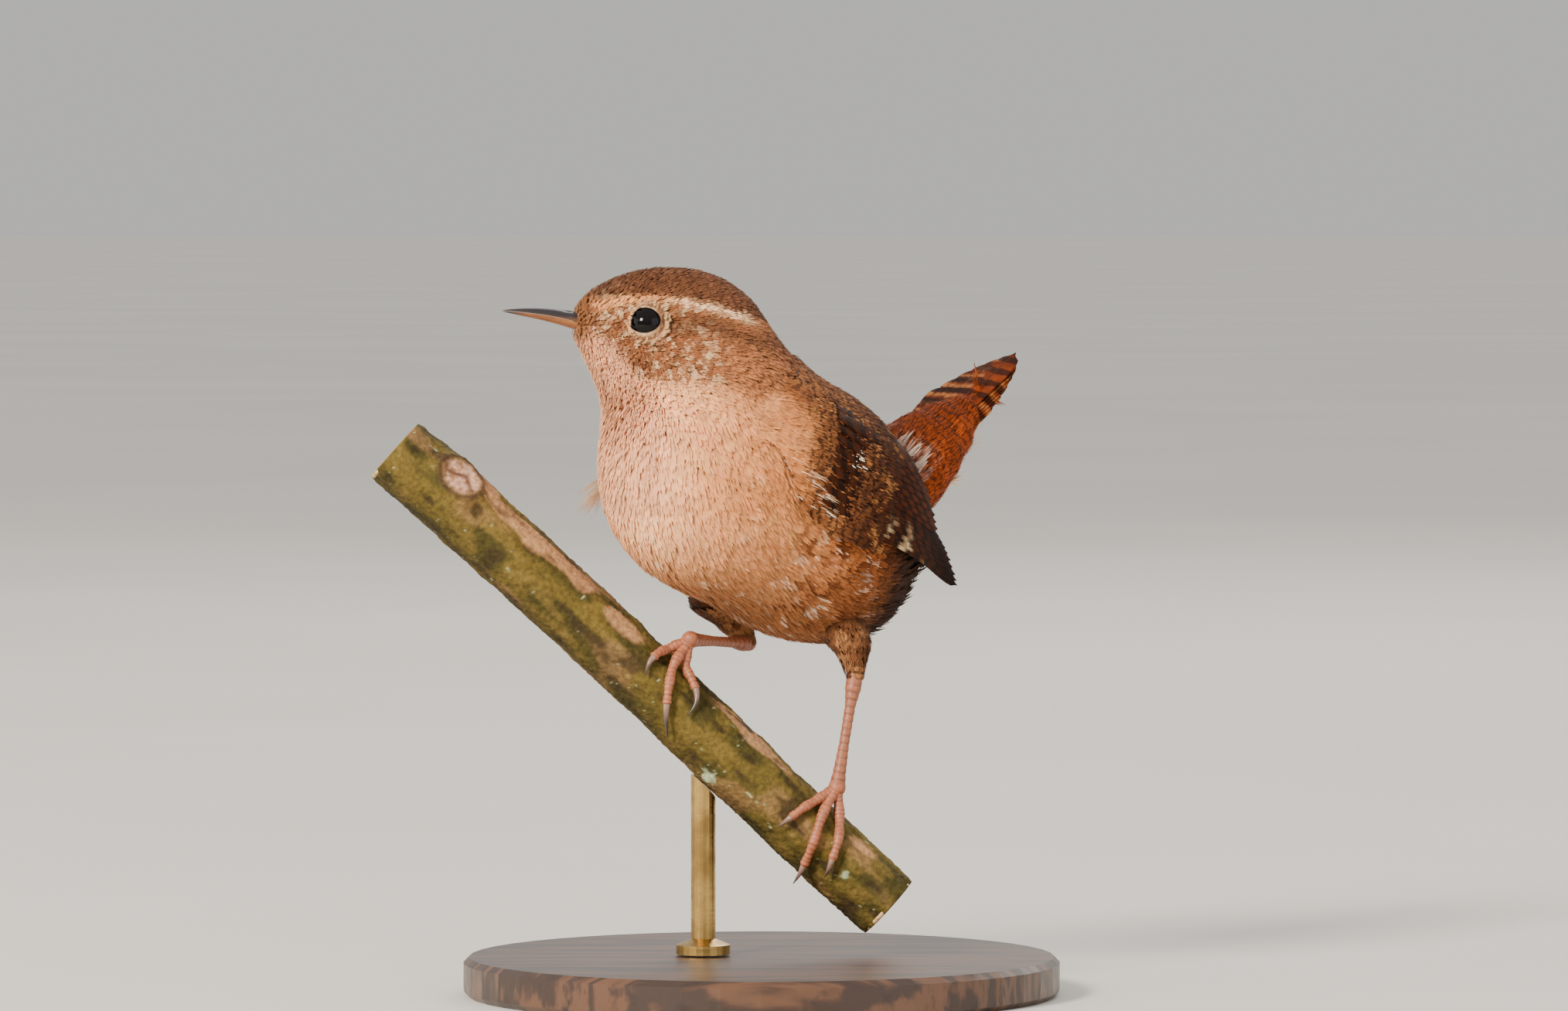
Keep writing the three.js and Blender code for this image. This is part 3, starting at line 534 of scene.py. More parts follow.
class Nodes:
    """A material and short calls for the nodes in it."""

    def __init__(self, name, roughness, **inputs):
        self.material = bpy.data.materials.new(name)
        self.material.use_nodes = True
        self.tree = self.material.node_tree
        self.shader = self.tree.nodes["Principled BSDF"]
        self.shader.inputs["Roughness"].default_value = roughness
        for label, value in inputs.items():
            self.shader.inputs[label.replace("_", " ")].default_value = value

    def add(self, kind, settings=None, **inputs):
        node = self.tree.nodes.new(kind)
        for label, value in (settings or {}).items():
            setattr(node, label, value)
        for label, value in inputs.items():
            self.put(node, label, value)
        return node

    def put(self, node, label, value):
        """Give an input a value or a link. The label is the input's name or number."""
        socket = node.inputs[label]
        if isinstance(value, bpy.types.NodeSocket):
            self.tree.links.new(value, socket)
        elif isinstance(value, np.ndarray):
            socket.default_value = (*value.tolist(), 1.0)
        else:
            socket.default_value = value

    def puts(self, node, values):
        for label, value in values.items():
            self.put(node, label, value)
        return node

    def tint(self):
        """The tint's colour and its fourth value, the strength of bars."""
        node = self.add("ShaderNodeAttribute", {"attribute_name": "Tint"})
        return node.outputs["Color"], node.outputs["Alpha"]

    def lie(self):
        node = self.add("ShaderNodeAttribute", {"attribute_name": "Lie"})
        return self.add("ShaderNodeSeparateXYZ", Vector=node.outputs["Vector"]).outputs

    def place(self):
        return self.add("ShaderNodeTexCoord").outputs["Object"]

    def stretched(self, *scale):
        return self.add("ShaderNodeMapping", Vector=self.place(), Scale=scale).outputs[0]

    def noise(self, scale, detail=3, vector=None):
        vector = vector or self.place()
        return self.add("ShaderNodeTexNoise", Vector=vector, Scale=scale, Detail=float(detail)).outputs["Fac"]

    def maths(self, operation, *values):
        node = self.add("ShaderNodeMath", {"operation": operation})
        return self.puts(node, dict(enumerate(values))).outputs[0]

    def total(self, first, *others):
        for other in others:
            first = self.maths("ADD", first, other)
        return first

    def product(self, first, other):
        return self.maths("MULTIPLY", first, other)

    def wave(self, value, length):
        return self.maths("SINE", self.product(value, 2 * math.pi / length))

    def steps(self, value, start, end, low=0.0, high=1.0):
        node = self.add("ShaderNodeMapRange", {"interpolation_type": "SMOOTHSTEP"})
        return self.puts(node, dict(enumerate([value, start, end, low, high]))).outputs[0]

    def mix(self, share, first, second, blend="MIX"):
        node = self.add("ShaderNodeMix", {"data_type": "RGBA", "blend_type": blend})
        return self.puts(node, {0: share, 6: first, 7: second}).outputs[2]

    def shaded(self, colour, shade):
        """A colour times a number."""
        grey = self.add("ShaderNodeCombineColor", Red=shade, Green=shade, Blue=shade).outputs[0]
        return self.mix(1.0, colour, grey, "MULTIPLY")

    def finish(self, colour, height=None, distance=0.0002, strength=0.5):
        self.put(self.shader, "Base Color", colour)
        if height is not None:
            node = self.add("ShaderNodeBump", Height=height, Strength=strength, Distance=distance)
            self.put(self.shader, "Normal", node.outputs["Normal"])
        return self.material


def plumage_material():
    """Soft feathers: a tint, bars across the lie of the coat, and a shade for each tuft and strand."""
    n = Nodes("plumage", 0.85, Specular_IOR_Level=0.1, Sheen_Weight=0.06, Sheen_Roughness=0.5)
    tint, strength = n.tint()
    along, tuft, strand = n.lie()
    phase = n.total(along, n.product(n.noise(420), 4.0), tuft)
    bar = n.product(n.steps(n.wave(phase, 1.75), 0.05, 0.75), strength)
    own = n.total(n.product(tuft, 0.5), n.product(strand, 0.5))
    lit = n.shaded(tint, n.steps(own, 0.0, 1.0, 0.87, 1.13))
    patch = n.steps(n.noise(420), 0.3, 0.75, 0.0, 0.16)
    lit = n.mix(patch, lit, n.mix(1.0, lit, WARM, "MULTIPLY"))
    dark = n.mix(0.86, lit, DARK)
    return n.finish(n.mix(bar, lit, dark), n.noise(2600, 2), 0.00008, 0.35)


def vane_material():
    """Flight feathers: a quill, fine barbs and dark bars on each web."""
    n = Nodes("vane", 0.6, Specular_IOR_Level=0.06)
    tint, strength = n.tint()
    along, across, own = n.lie()
    side = n.maths("ABSOLUTE", across)
    slant = n.total(along, n.product(side, -0.9))
    phase = n.total(slant, n.product(n.noise(900, 2), 0.7), n.product(own, 2.1))
    bar = n.product(n.steps(n.wave(phase, 3.0), -0.1, 0.4), strength)
    barbs = n.maths("SINE", n.product(n.total(slant, n.product(n.noise(1400, 2), 0.25)), 38))
    shade = n.product(n.steps(barbs, -1.0, 1.0, 0.78, 1.14), n.steps(n.noise(700), 0.3, 0.7, 0.8, 1.2))
    lit = n.shaded(tint, shade)
    barred = n.mix(bar, lit, n.mix(0.94, lit, VANE_BAR))
    quill = n.steps(side, 0.03, 0.09, 0.75, 0.0)
    return n.finish(n.mix(quill, barred, QUILL), barbs, 0.00006, 0.4)


def tinted_material(name, roughness, scale, amount, bump_scale, bump_size, **inputs):
    """A tint with soft mottling and a fine relief."""
    n = Nodes(name, roughness, **inputs)
    shade = n.steps(n.noise(scale, 4), 0.25, 0.75, 1 - amount, 1 + amount)
    return n.finish(n.shaded(n.tint()[0], shade), n.noise(bump_scale, 4), bump_size, 0.6)


def eye_material():
    n = Nodes("eye", 0.05, Specular_IOR_Level=0.22)
    brown = n.steps(n.noise(1500, 2), 0.35, 0.7, 0.0, 0.5)
    return n.finish(n.mix(brown, n.tint()[0], EYE_BROWN))


def wood_material():
    n = Nodes("stand_wood", 0.42, Coat_Weight=0.25, Coat_Roughness=0.25)
    place = n.stretched(14.0, 190.0, 60.0)
    pores = n.noise(6.0, 3, place)
    grain = n.maths("SINE", n.product(n.noise(1.0, 5, place), 34))
    colour = n.mix(n.steps(grain, -0.8, 0.9), srgb(52, 33, 22), srgb(94, 61, 39))
    colour = n.mix(n.steps(pores, 0.56, 0.7, 0.0, 0.55), colour, srgb(30, 18, 12))
    return n.finish(colour, pores, 0.00012, 0.4)


def metal_material():
    n = Nodes("stand_metal", 0.3, Metallic=1.0)
    brushed = n.noise(1.0, 3, n.stretched(30.0, 30.0, 2400.0))
    worn = n.noise(160, 4)
    colour = n.mix(n.steps(worn, 0.42, 0.7, 0.0, 0.7), srgb(190, 156, 92), srgb(122, 92, 50))
    n.put(n.shader, "Roughness", n.steps(n.total(brushed, worn), 0.7, 1.3, 0.2, 0.42))
    return n.finish(colour, brushed, 0.00002, 0.3)


PLUMAGE = plumage_material()
VANE = vane_material()


# Markings


def eye_distance(own):
    """Distance from the nearer eye's middle, by place in the head."""
    near = np.abs(own) * V(0, 1, 0) + own * V(1, 0, 1)
    return np.linalg.norm((near - EYE_AT) * V(1, 0.5, 1), axis=-1)


def markings(points, shares):
    """Colour and strength of bars for places on the bird, with each place's share of the spine."""
    f, left, u = points.T
    side = np.abs(left)
    colour = np.tile(SIDE, (len(points), 1))
    bars = np.zeros(len(points))

    def paint(mask, tone, barred=None):
        nonlocal colour, bars
        colour = lerp(colour, tone, mask[:, None])
        if barred is not None:
            bars = lerp(bars, barred, mask)

    wide = noise(points, 5.0, 1)
    fine = noise(points, 1.7, 2)
    over = u - np.interp(f, [-30, -12, 4, 12, 22], [3, 9, 16, 21, 25])
    paint(ramp(fine, 0.35, 0.8) * 0.5, BUFF)
    paint(bump(left, 1, 11) * ramp(f, -8, 10), BREAST, 0.0)
    # The lower breast is painted darker: a deeper buff, and painted shade on the underside below the lit
    # breast
    paint(bump(left, 2, 14) * ramp(-u, -3, 9) * ramp(f, -14, 2) * 0.8, SHADED_LOW_BREAST, 0.12)
    paint(ramp(side, 7.5, 13) * ramp(-u, -9, 2) * ramp(-f, -12, 4) * lerp(0.5, 1, wide), FLANK, 0.6)
    # The lower belly is painted darker: its own browner tone, and painted shade under the body
    paint(ramp(-u, 4, 14) * ramp(f, -18, -6) * 0.65, SHADED_BELLY, 0.3)
    spotted = ramp(side, 5, 9) * ramp(-u, -6, 1) * ramp(-f, -16, -4)
    paint(spotted * ramp(noise(points, 1.15, 7), 0.56, 0.7) * 0.85, SPOT, 0.2)
    # The vent is painted very dark: its own barred brown, and painted shade under the body and tail
    paint(ramp(-f, 3, 13) * ramp(-u, -4, 5), SHADED_VENT, 0.8)
    paint(ramp(over, -4.5, 0.5), MANTLE, 0.85)
    paint(ramp(-f, 5, 12) * ramp(u, -5, 1), lerp(MANTLE, RUMP, 0.25) * 0.8, 0.85)
    paint(ramp(-f, 17, 23) * ramp(u, -4, 5), lerp(MANTLE, RUMP, 0.5) * 0.9, 0.8)
    paint(ramp(over, -5, 0) * ramp(shares, 0.5, 0.72), NAPE, 0.4)

    h = to_head(points)
    forward, up, flat = h[:, 0], h[:, 2], np.abs(h[:, 1])
    head = ramp(shares, 0.78, 0.93)
    brow = np.interp(forward, [-12, -4.6, 3.5, 8, 11], [4.0, 5.4, 6.1, 5.5, 4.4])
    paint(head * ramp(up - brow, -6.2, -3.2) * ramp(-forward, -9, -3), NAPE, 0.35)
    paint(head * ramp(up - brow, -0.4, 0.9), CROWN, 0.5)
    cheek = head * ramp(up, -7.5, -4.5) * (1 - ramp(up - brow, -1, 0)) * ramp(forward, -8, -4)
    scaled = noise(points, 0.62, 4)
    paint(cheek, lerp(CHEEK, CREAM, (ramp(scaled, 0.5, 0.78) * 0.6)[:, None]), 0.3)
    paint(cheek * ramp(-scaled, -0.44, -0.24) * 0.75, CHEEK_DARK, 0.1)
    throat = ramp(forward * 0.74 - up * 0.68, 6.4, 9.2) * ramp(forward, -4, 3)
    paint(throat * ramp(shares, 0.6, 0.72) * ramp(-up, -1.8, 1.2), THROAT, 0.0)
    lores = head * ramp(forward, 6.2, 8.2) * bump(up, 3.4, 2.6)
    paint(lores * ramp(scaled, 0.42, 0.7) * 0.6, CREAM * 0.82, 0.1)
    paint(head * ramp(forward, 12.2, 13.4) * ramp(up, -1.5, 1), BILL_EDGE, 0.0)
    stripe_up = np.interp(forward, [-10, -4.6, 2], [1.2, 2.6, 2.2])
    stripe = head * bump(up, stripe_up, 1.5) * ramp(-forward, -3, -0.5)
    paint(stripe * lerp(0.6, 1, fine), EYE_STRIPE, 0.25)
    thick = np.interp(forward, [-12, -6, 0, 4, 10], [0.4, 0.5, 0.42, 0.3, 0.8])
    line = head * bump(up, brow - 0.3, thick) * ramp(forward, -12.5, -9.5) * ramp(flat, 2, 3.6)
    paint(line * 0.95, lerp(BUFF * 1.15, CREAM, ramp(-forward, -4, 2)[:, None]), 0.0)
    paint(bump(eye_distance(h), EYE_RADIUS - 0.1, 0.35) * 0.8, EYE_RING, 0.0)
    return np.clip(colour, 0, 1), np.clip(bars, 0, 1)


def coloured(colour, bars):
    """Colours with a fourth value, the strength of bars."""
    shape = colour.shape[:-1]
    return np.concatenate([np.clip(colour, 0, 1), np.broadcast_to(bars, shape)[..., None]], axis=-1)


def plain(tone, points, bars=0.0):
    """One colour for all of the points."""
    return coloured(np.tile(tone, (len(points), 1)), bars)


# Tufts


def tufts(roots, way, field, length, half, rise, level, tint, lie, unwrap, strands=STRANDS, breadth=0.24):
    """Fans of tapered strands that leave their roots along the way and follow a field's surface.

    The level is the height of the roots in the field and the rise how much higher the tips are.
    Each strand is closed: a point at the root, two three-sided stations and a point at the tip.
    """
    count = len(roots)
    half, rise, level = (np.broadcast_to(value, count) for value in (half, rise, level))
    out = outward(roots, field)
    way = unit(way - out * np.einsum("ij,ij->i", way, out)[:, None])
    side = np.cross(way, out)
    spot = np.linspace(-1, 1, strands) + random.normal(0, 0.12, (count, strands))
    reach = (1 - 0.28 * spot**2 + random.normal(0, 0.09, spot.shape)) * length[:, None]
    t = STRAND_STATIONS
    spread = t**0.75 * (1.12 - 0.3 * t * t)
    ahead = reach[..., None] * t
    stray = random.normal(0, 0.05, (count, strands, 1)) * t * 3 * half[:, None, None]
    beside = (spot * half[:, None])[..., None] * spread + stray
    q = roots[:, None, None] + way[:, None, None] * ahead[..., None] + side[:, None, None] * beside[..., None]
    lifted = rise[:, None] * random.normal(1, 0.12, spot.shape)
    wanted = level[:, None, None] + lifted[..., None] * t**0.8
    outs = out[:, None, None]
    for _ in range(2):
        q = q + outs * (wanted - field(q))[..., None]
    thick = breadth * half[:, None] / 0.9 * random.uniform(0.8, 1.25, spot.shape)
    wide = thick[..., None] * V(0.9, 0.62)
    across = side[:, None, None] * wide[..., None]
    middle = q[:, :, 1:3]
    ridge = middle + outs * (wide * STRAND_RIDGE)[..., None]
    rings = np.stack([middle - across, middle + across, ridge], axis=3)
    points = np.concatenate([q[:, :, :1], rings.reshape(count, strands, 6, 3), q[:, :, 3:]], axis=2)
    starts = STRAND_POINTS * np.arange(count * strands)[:, None, None]
    share = t[[0, 1, 1, 1, 2, 2, 2, 3]]
    shape = (count, strands, STRAND_POINTS)
    along = np.broadcast_to(lie, count)[:, None, None] + reach[..., None] * share
    own = np.broadcast_to(random.uniform(0, 1, (count, 1, 1)), shape)
    strand = np.broadcast_to(random.uniform(0, 1, (count, strands, 1)), shape)
    tints = np.broadcast_to(tint[:, None, None], (*shape, 4)).copy()
    # Painted shade towards each strand's root, under the tufts that overlap it, and painted light towards its
    # tip
    tints[..., :3] *= lerp(0.86, 1.1, share)[:, None]
    over = np.broadcast_to(np.clip(spot, -1, 1)[..., None] * 0.45, shape)
    patch = np.stack([over, np.broadcast_to(share - 0.5, shape)], -1)
    maps = np.clip(np.broadcast_to(unwrap, (count, 2))[:, None, None] + patch * PATCH, 0, 1)
    lies = np.stack([along, own, strand], -1)
    faces = (STRAND_FACES + starts).reshape(-1, 3)
    return [points.reshape(-1, 3), faces, tints.reshape(-1, 4), lies.reshape(-1, 3), maps.reshape(-1, 2)]


def chosen(which, *values):
    return [value[which] for value in values]


def thinned(points, gaps):
    """Places of the points that are left when none is nearer to one before it than its gap."""
    gaps = np.broadcast_to(gaps, len(points))
    tree = kdtree.KDTree(len(points))
    for k, p in enumerate(points):
        tree.insert(p, k)
    tree.balance()
    alive = np.ones(len(points), bool)
    for k, p in enumerate(points):
        if alive[k]:
            for _, other, _ in tree.find_range(p, gaps[k]):
                if other > k:
                    alive[other] = False
    return np.flatnonzero(alive)


def scattered(rows, count, *values):
    """Random places on a grid of points, evenly by area, with the values by row and column there."""
    faces = grid_faces(*rows.shape[:2])
    points = rows.reshape(-1, 3)
    a, b, c = (points[faces[:, k]] for k in range(3))
    area = np.linalg.norm(np.cross(b - a, c - a), axis=1)
    under = faces[random.choice(len(faces), count, p=area / area.sum())]
    w = random.dirichlet([1, 1, 1], count)
    take = lambda flat: np.einsum("nk,nkd->nd", w, flat[under])
    return [take(points)] + [take(value.reshape(len(points), -1)) for value in values]


def coat(name, parts, slot):
    """Pieces of coat, each under the limit of triangles."""
    points, faces, tints, lies, maps = joined(parts)
    strands = len(faces) // len(STRAND_FACES)
    pieces = math.ceil(len(faces) / PIECE_TRIANGLES)
    for k in range(pieces):
        first, last = strands * k // pieces, strands * (k + 1) // pieces
        here = slice(first * STRAND_POINTS, last * STRAND_POINTS)
        own = faces[first * len(STRAND_FACES) : last * len(STRAND_FACES)] - here.start
        values = tints[here], lies[here], {"OFBake": maps[here]}
        piece(f"{name}_{k + 1}", points[here], own, PLUMAGE, slot, *values, smooth=False)


# The skin and the body's coat

rows, ring_shares = skin_rings()
RINGS = len(rows)
steps = np.linalg.norm(np.diff(rows[::-1], axis=0), axis=-1)
meridian = np.concatenate([np.zeros((1, SKIN_SIDES + 1)), np.cumsum(steps, axis=0)])[::-1]
unwrap_grid = pairs(np.arange(RINGS) / (RINGS - 1), np.arange(SKIN_SIDES + 1) / SKIN_SIDES)[..., ::-1]
share_grid = np.broadcast_to(ring_shares[:, None], unwrap_grid.shape[:2])


def lie_of(points, shares, meridians):
    """Distance along the lie of the coat: from the bill on the head and from the crown on the body."""
    h = to_head(points)
    from_bill = np.linalg.norm(h - V(BILL_ROOT, 0, 1), axis=-1)
    return lerp(meridians, from_bill, ramp(shares, 0.75, 0.95))


def flow(points, shares):
    """The way in which the coat lies: back from the bill, down the breast and to the root of the tail."""
    h = to_head(points)
    from_bill = unit(h - V(13, 0, 1.5)) @ HEAD_TURN.T
    down = -spine.way(np.clip(shares, 0, 1))
    to_tail = unit(TAIL_AT + V(-7, 0, 4) - points)
    way = lerp(down, from_bill, ramp(shares, 0.72, 0.92)[:, None])
    return lerp(way, to_tail, ramp(-shares, -0.22, -0.02)[:, None])


def thigh_paths():
    """The knee, shank and ankle of each thigh, in the model's frame."""
    for leg in LEGS.values():
        yield [leg["knee"], leg["shank"], leg["ankle"]]


def thigh_route(path, share):
    """Places along a thigh, and its radii there."""
    places = [np.interp(share, THIGH_STOPS, [p[k] for p in path]) for k in range(3)]
    return np.stack(places, -1), np.interp(share, THIGH_STOPS, THIGH_RADII)


def under_lie(along, points, size=0.6, seeds=(5, 6)):
    """What the plumage reads under the coat: the lie, and soft shades in place of the tufts'."""
    return np.stack([along, noise(points, 1.5, seeds[0]), noise(points, size, seeds[1])], -1)


def skin():
    """One skin for head, neck, torso and thighs."""
    body, faces = closed_rows(bird_world(rows[:, :-1]))
    own = bird_own(body)
    shares = np.concatenate([np.repeat(ring_shares, SKIN_SIDES), ring_shares[[0, -1]]])
    meridians = np.concatenate([meridian[:, :-1].ravel(), [meridian[0, 0], 0]])
    colour, bars = markings(own, shares)
    # The skin is painted a little darker than the markings: painted shade between the tufts
    parts = [[body, faces, coloured(colour * 0.95, bars), under_lie(lie_of(own, shares, meridians), own)]]
    for path in thigh_paths():
        share = np.linspace(0, 1, 24)
        route, radii = thigh_route(path, share)
        points, faces = tube(route, radii - lerp(1.1, 0.5, share), 28)
        parts.append([points, faces, plain(THIGH_SKIN, points, 0.5), under_lie(-points[:, 2], points)])
    points, faces, tints, lies = joined(parts)
    made = piece("skin", points, faces, PLUMAGE, "plumage", tints, lies)
    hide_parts("head", "neck", "torso", "thigh_left", "thigh_right")


def bill_share(forward):
    return (BILL_TIP - forward) / (BILL_TIP - BILL_ROOT)


def mouth_line(t):
    """Height of the line between the bill's halves, by share from its tip to its root."""
    return BILL_AXIS_UP - GAPE_DROP * t**2.6


def under_bill(h):
    """Whether places in the head are covered by the bill."""
    t = np.clip(bill_share(h[:, 0]), 0.01, 1)
    beside = np.abs(h[:, 1]) < 0.86 * BILL_HALF_WIDTH * t**BILL_WIDENING
    return (h[:, 0] > 9) & (np.abs(h[:, 2] - mouth_line(t)) < 1.45 * t**BILL_DEEPENING) & beside


def body_coat():
    """Tufts over the body, smallest on the face."""
    points, unwrap, shares, meridians = scattered(rows, BODY_PLACES, unwrap_grid, share_grid, meridian)
    shares, meridians = shares[:, 0], meridians[:, 0]
    h = to_head(points)
    head = ramp(shares, 0.72, 0.95)
    face = head * ramp(h[:, 0], -4, 5)
    gaps = lerp(lerp(0.84, 0.52, head), 0.36, face)
    eye = eye_distance(h)
    free = np.flatnonzero((eye > 2.42) & ~under_bill(h))
    kept = free[thinned(points[free], gaps[free])]
    values = points, unwrap, shares, meridians, head, face, eye
    points, unwrap, shares, meridians, head, face, eye = chosen(kept, *values)
    count = len(points)
    rear, down = -points[:, 0], -points[:, 2]
    colour, bars = markings(points, shares)
    way = unit(flow(points, shares))
    drawn = points - 0.86 * way * np.einsum("ij,ij->i", points, way)[:, None]
    streak = noise(drawn, 0.9, 12) - 0.5 + 0.5 * (noise(drawn, 0.45, 13) - 0.5)
    streaked = lerp(lerp(0.7, 0.4, ramp(-rear, -4, 10)), 0.4, head)
    colour = colour * (1 + 0.7 * streak * streaked)[:, None]
    pale = ramp(streak, 0.2, 0.5) * ramp(down, -8, 4) * ramp(-rear, -12, 0) * 0.45
    colour = lerp(colour, WHITE, pale[:, None])
    colour = colour * (1 + random.normal(0, 0.06, (count, 1))) * (1 + random.normal(0, 0.02, (count, 3)))
    length = lerp(lerp(4.4, 5.2, ramp(down, 2, 12)), 2.2, head)
    length = lerp(length, 1.15, face) * random.uniform(0.85, 1.15, count)
    length = np.where(eye < 5, np.minimum(length, np.maximum(eye - 2.1, 0.4)), length)
    half = lerp(lerp(1.05, 0.55, head), 0.3, face) * random.uniform(0.85, 1.2, count)
    inset = coat_depth(shares)
    rise = (inset - 0.12) * random.uniform(0.9, 1.15, count)
    rise = rise + ramp(rear, 6, 16) * ramp(down, 2, 9) * random.exponential(0.35, count)
    level = ramp(-eye, -3.5, -2.5) * 0.95 - inset
    lies = lie_of(points, shares, meridians)
    way = way + random.normal(0, 0.09, (count, 3))
    tint = coloured(colour, bars)
    fan = tufts(points, way, depth, length, half, rise, level, tint, lies, unwrap, breadth=0.34)
    fan[0] = bird_world(fan[0])
    tuft_points = STRAND_POINTS * STRANDS
    from_the_bill = np.argsort(-shares, kind="stable")
    index = (from_the_bill[:, None] * tuft_points + np.arange(tuft_points)).ravel()
    for k in (0, 2, 3, 4):
        fan[k] = fan[k][index]
    coat("coat", [fan], "plumage")


# Vanes of wings and tail

VANE_THICKNESS = 0.3


def vane(across_rows, out, tint, along, own, cell):
    """One closed feather from a grid of points, by station and by place from edge to edge."""
    stations, columns = across_rows.shape[:2]
    place = np.linspace(-1, 1, columns)
    body = VANE_THICKNESS * (1 - 0.8 * place**2)[None, :, None] * out[:, None]
    points = np.concatenate([across_rows.reshape(-1, 3), (across_rows - body).reshape(-1, 3)])
    size = stations * columns
    faces = [grid_faces(stations, columns), grid_faces(stations, columns, size)[:, ::-1]]
    grid = np.arange(size).reshape(stations, columns)
    rim = np.concatenate([grid[0], grid[1:, -1], grid[-1, -2::-1], grid[-2:0:-1, 0]])
    after = np.roll(rim, -1)
    faces.append(np.stack([rim, rim + size, after], 1))
    faces.append(np.stack([after, rim + size, after + size], 1))
    lie = np.concatenate([pairs(along, place), np.full((stations, columns, 1), own)], -1).reshape(-1, 3)
    spot = pairs(np.linspace(0, 1, stations) * 0.96 + 0.02, (place + 1) * 0.24)[..., ::-1].reshape(-1, 2)
    maps = np.concatenate([spot + V(0.01, 0), spot + V(0.51, 0)]) * cell[2] + V(cell[0], cell[1])
    tints = tint.reshape(-1, 4)
    # The back face of each feather is a darker copy of the front: painted shade on its underside
    tints = np.concatenate([tints, tints * V(0.7, 0.7, 0.7, 1)])
    return [points, np.concatenate(faces), tints, np.concatenate([lie, lie]), maps]


def cells(count):
    """Corner and side of a square cell of the unit square for each of some pieces."""
    side = math.ceil(math.sqrt(count))
    return [((k % side) / side, (k // side) / side, 1 / side) for k in range(count)]


def vane_width(t):
    """Share of a vane's full half width, from its root to its rounded tip."""
    root = 0.5 + 0.5 * np.sin(np.minimum(1, 1.3 * t) * math.pi / 2)
    return root * np.sqrt(np.maximum(1 - np.clip((t - 0.86) / 0.14, 0, 1) ** 2.2, 0.0004))


WING_WAY = unit(WING_AXIS[1] - WING_AXIS[0])
WING_OUT = unit(V(0, 1, 0) - WING_WAY * WING_WAY[1])
WING_OVER = np.cross(WING_OUT, WING_WAY)


def wing_point(along, angle, lift):
    """Places on the left wing's guide surface, with their way out and distance from the axis."""
    along, angle = np.broadcast_arrays(along, angle)
    start = WING_AXIS[0] + WING_WAY * along[..., None]
    turn = np.radians(angle)[..., None]
    ray = WING_OUT * np.cos(turn) + WING_OVER * np.sin(turn)
    point = surface(start, ray, lift, WING_GUIDE)
    return point, ray, np.linalg.norm(point - start, axis=-1)


def wing_guide(points):
    return depth(points, WING_GUIDE)


def wing_open(t):
    return np.sin(np.minimum(1, (t + 0.04) / 0.3) * math.pi / 2)


def wing_low(along):
    t = (along - WING_FROM) / (WING_TO - WING_FROM)
    return lerp(lerp(30, WING_LOW, wing_open(t)), 7, np.maximum(0, (t - 0.4) / 0.6) ** 1.4)


def wing_spot(along, up, lift):
    """Places by millimetres along the wing and up from its lower edge."""
    low = wing_low(along)
    _, _, radius = wing_point(along, low, lift)
    return wing_point(along, low + np.degrees(up / radius), lift)


# Rows of the wing's feathers: count, root, heights of the roots and of the tips, reach of the tips,
# half width, lift of the row, how steeply its feathers overlap, and their colour
WING_ROWS = {
    "primaries": (9, 9.5, (1.2, 6.5), (0.7, 5.6), (43.5, 35.2), 1.1, 0.0, 0.03, srgb(84, 40, 17)),
    "secondaries": (8, 8.5, (7.6, 13.8), (6.4, 13.4), (34.6, 28.6), 1.25, 0.15, 0.03, srgb(92, 42, 17)),
    "tertials": (4, 7.3, (14.8, 19.6), (14.4, 19.4), (27.6, 20.6), 1.7, 0.3, 0.04, srgb(98, 48, 22)),
    "greater": (11, 6.8, (2.2, 18.6), (1.9, 18.8), (19.6, 15.6), 1.3, 0.6, 0.02, srgb(74, 36, 16)),
}
WING_VANE_STATIONS = 22
WING_VANE_COLUMNS = 9
WHITE_SPOT = 12.8, 84, 1.1  # X, Z and radius of the white spot over the bend of the wing


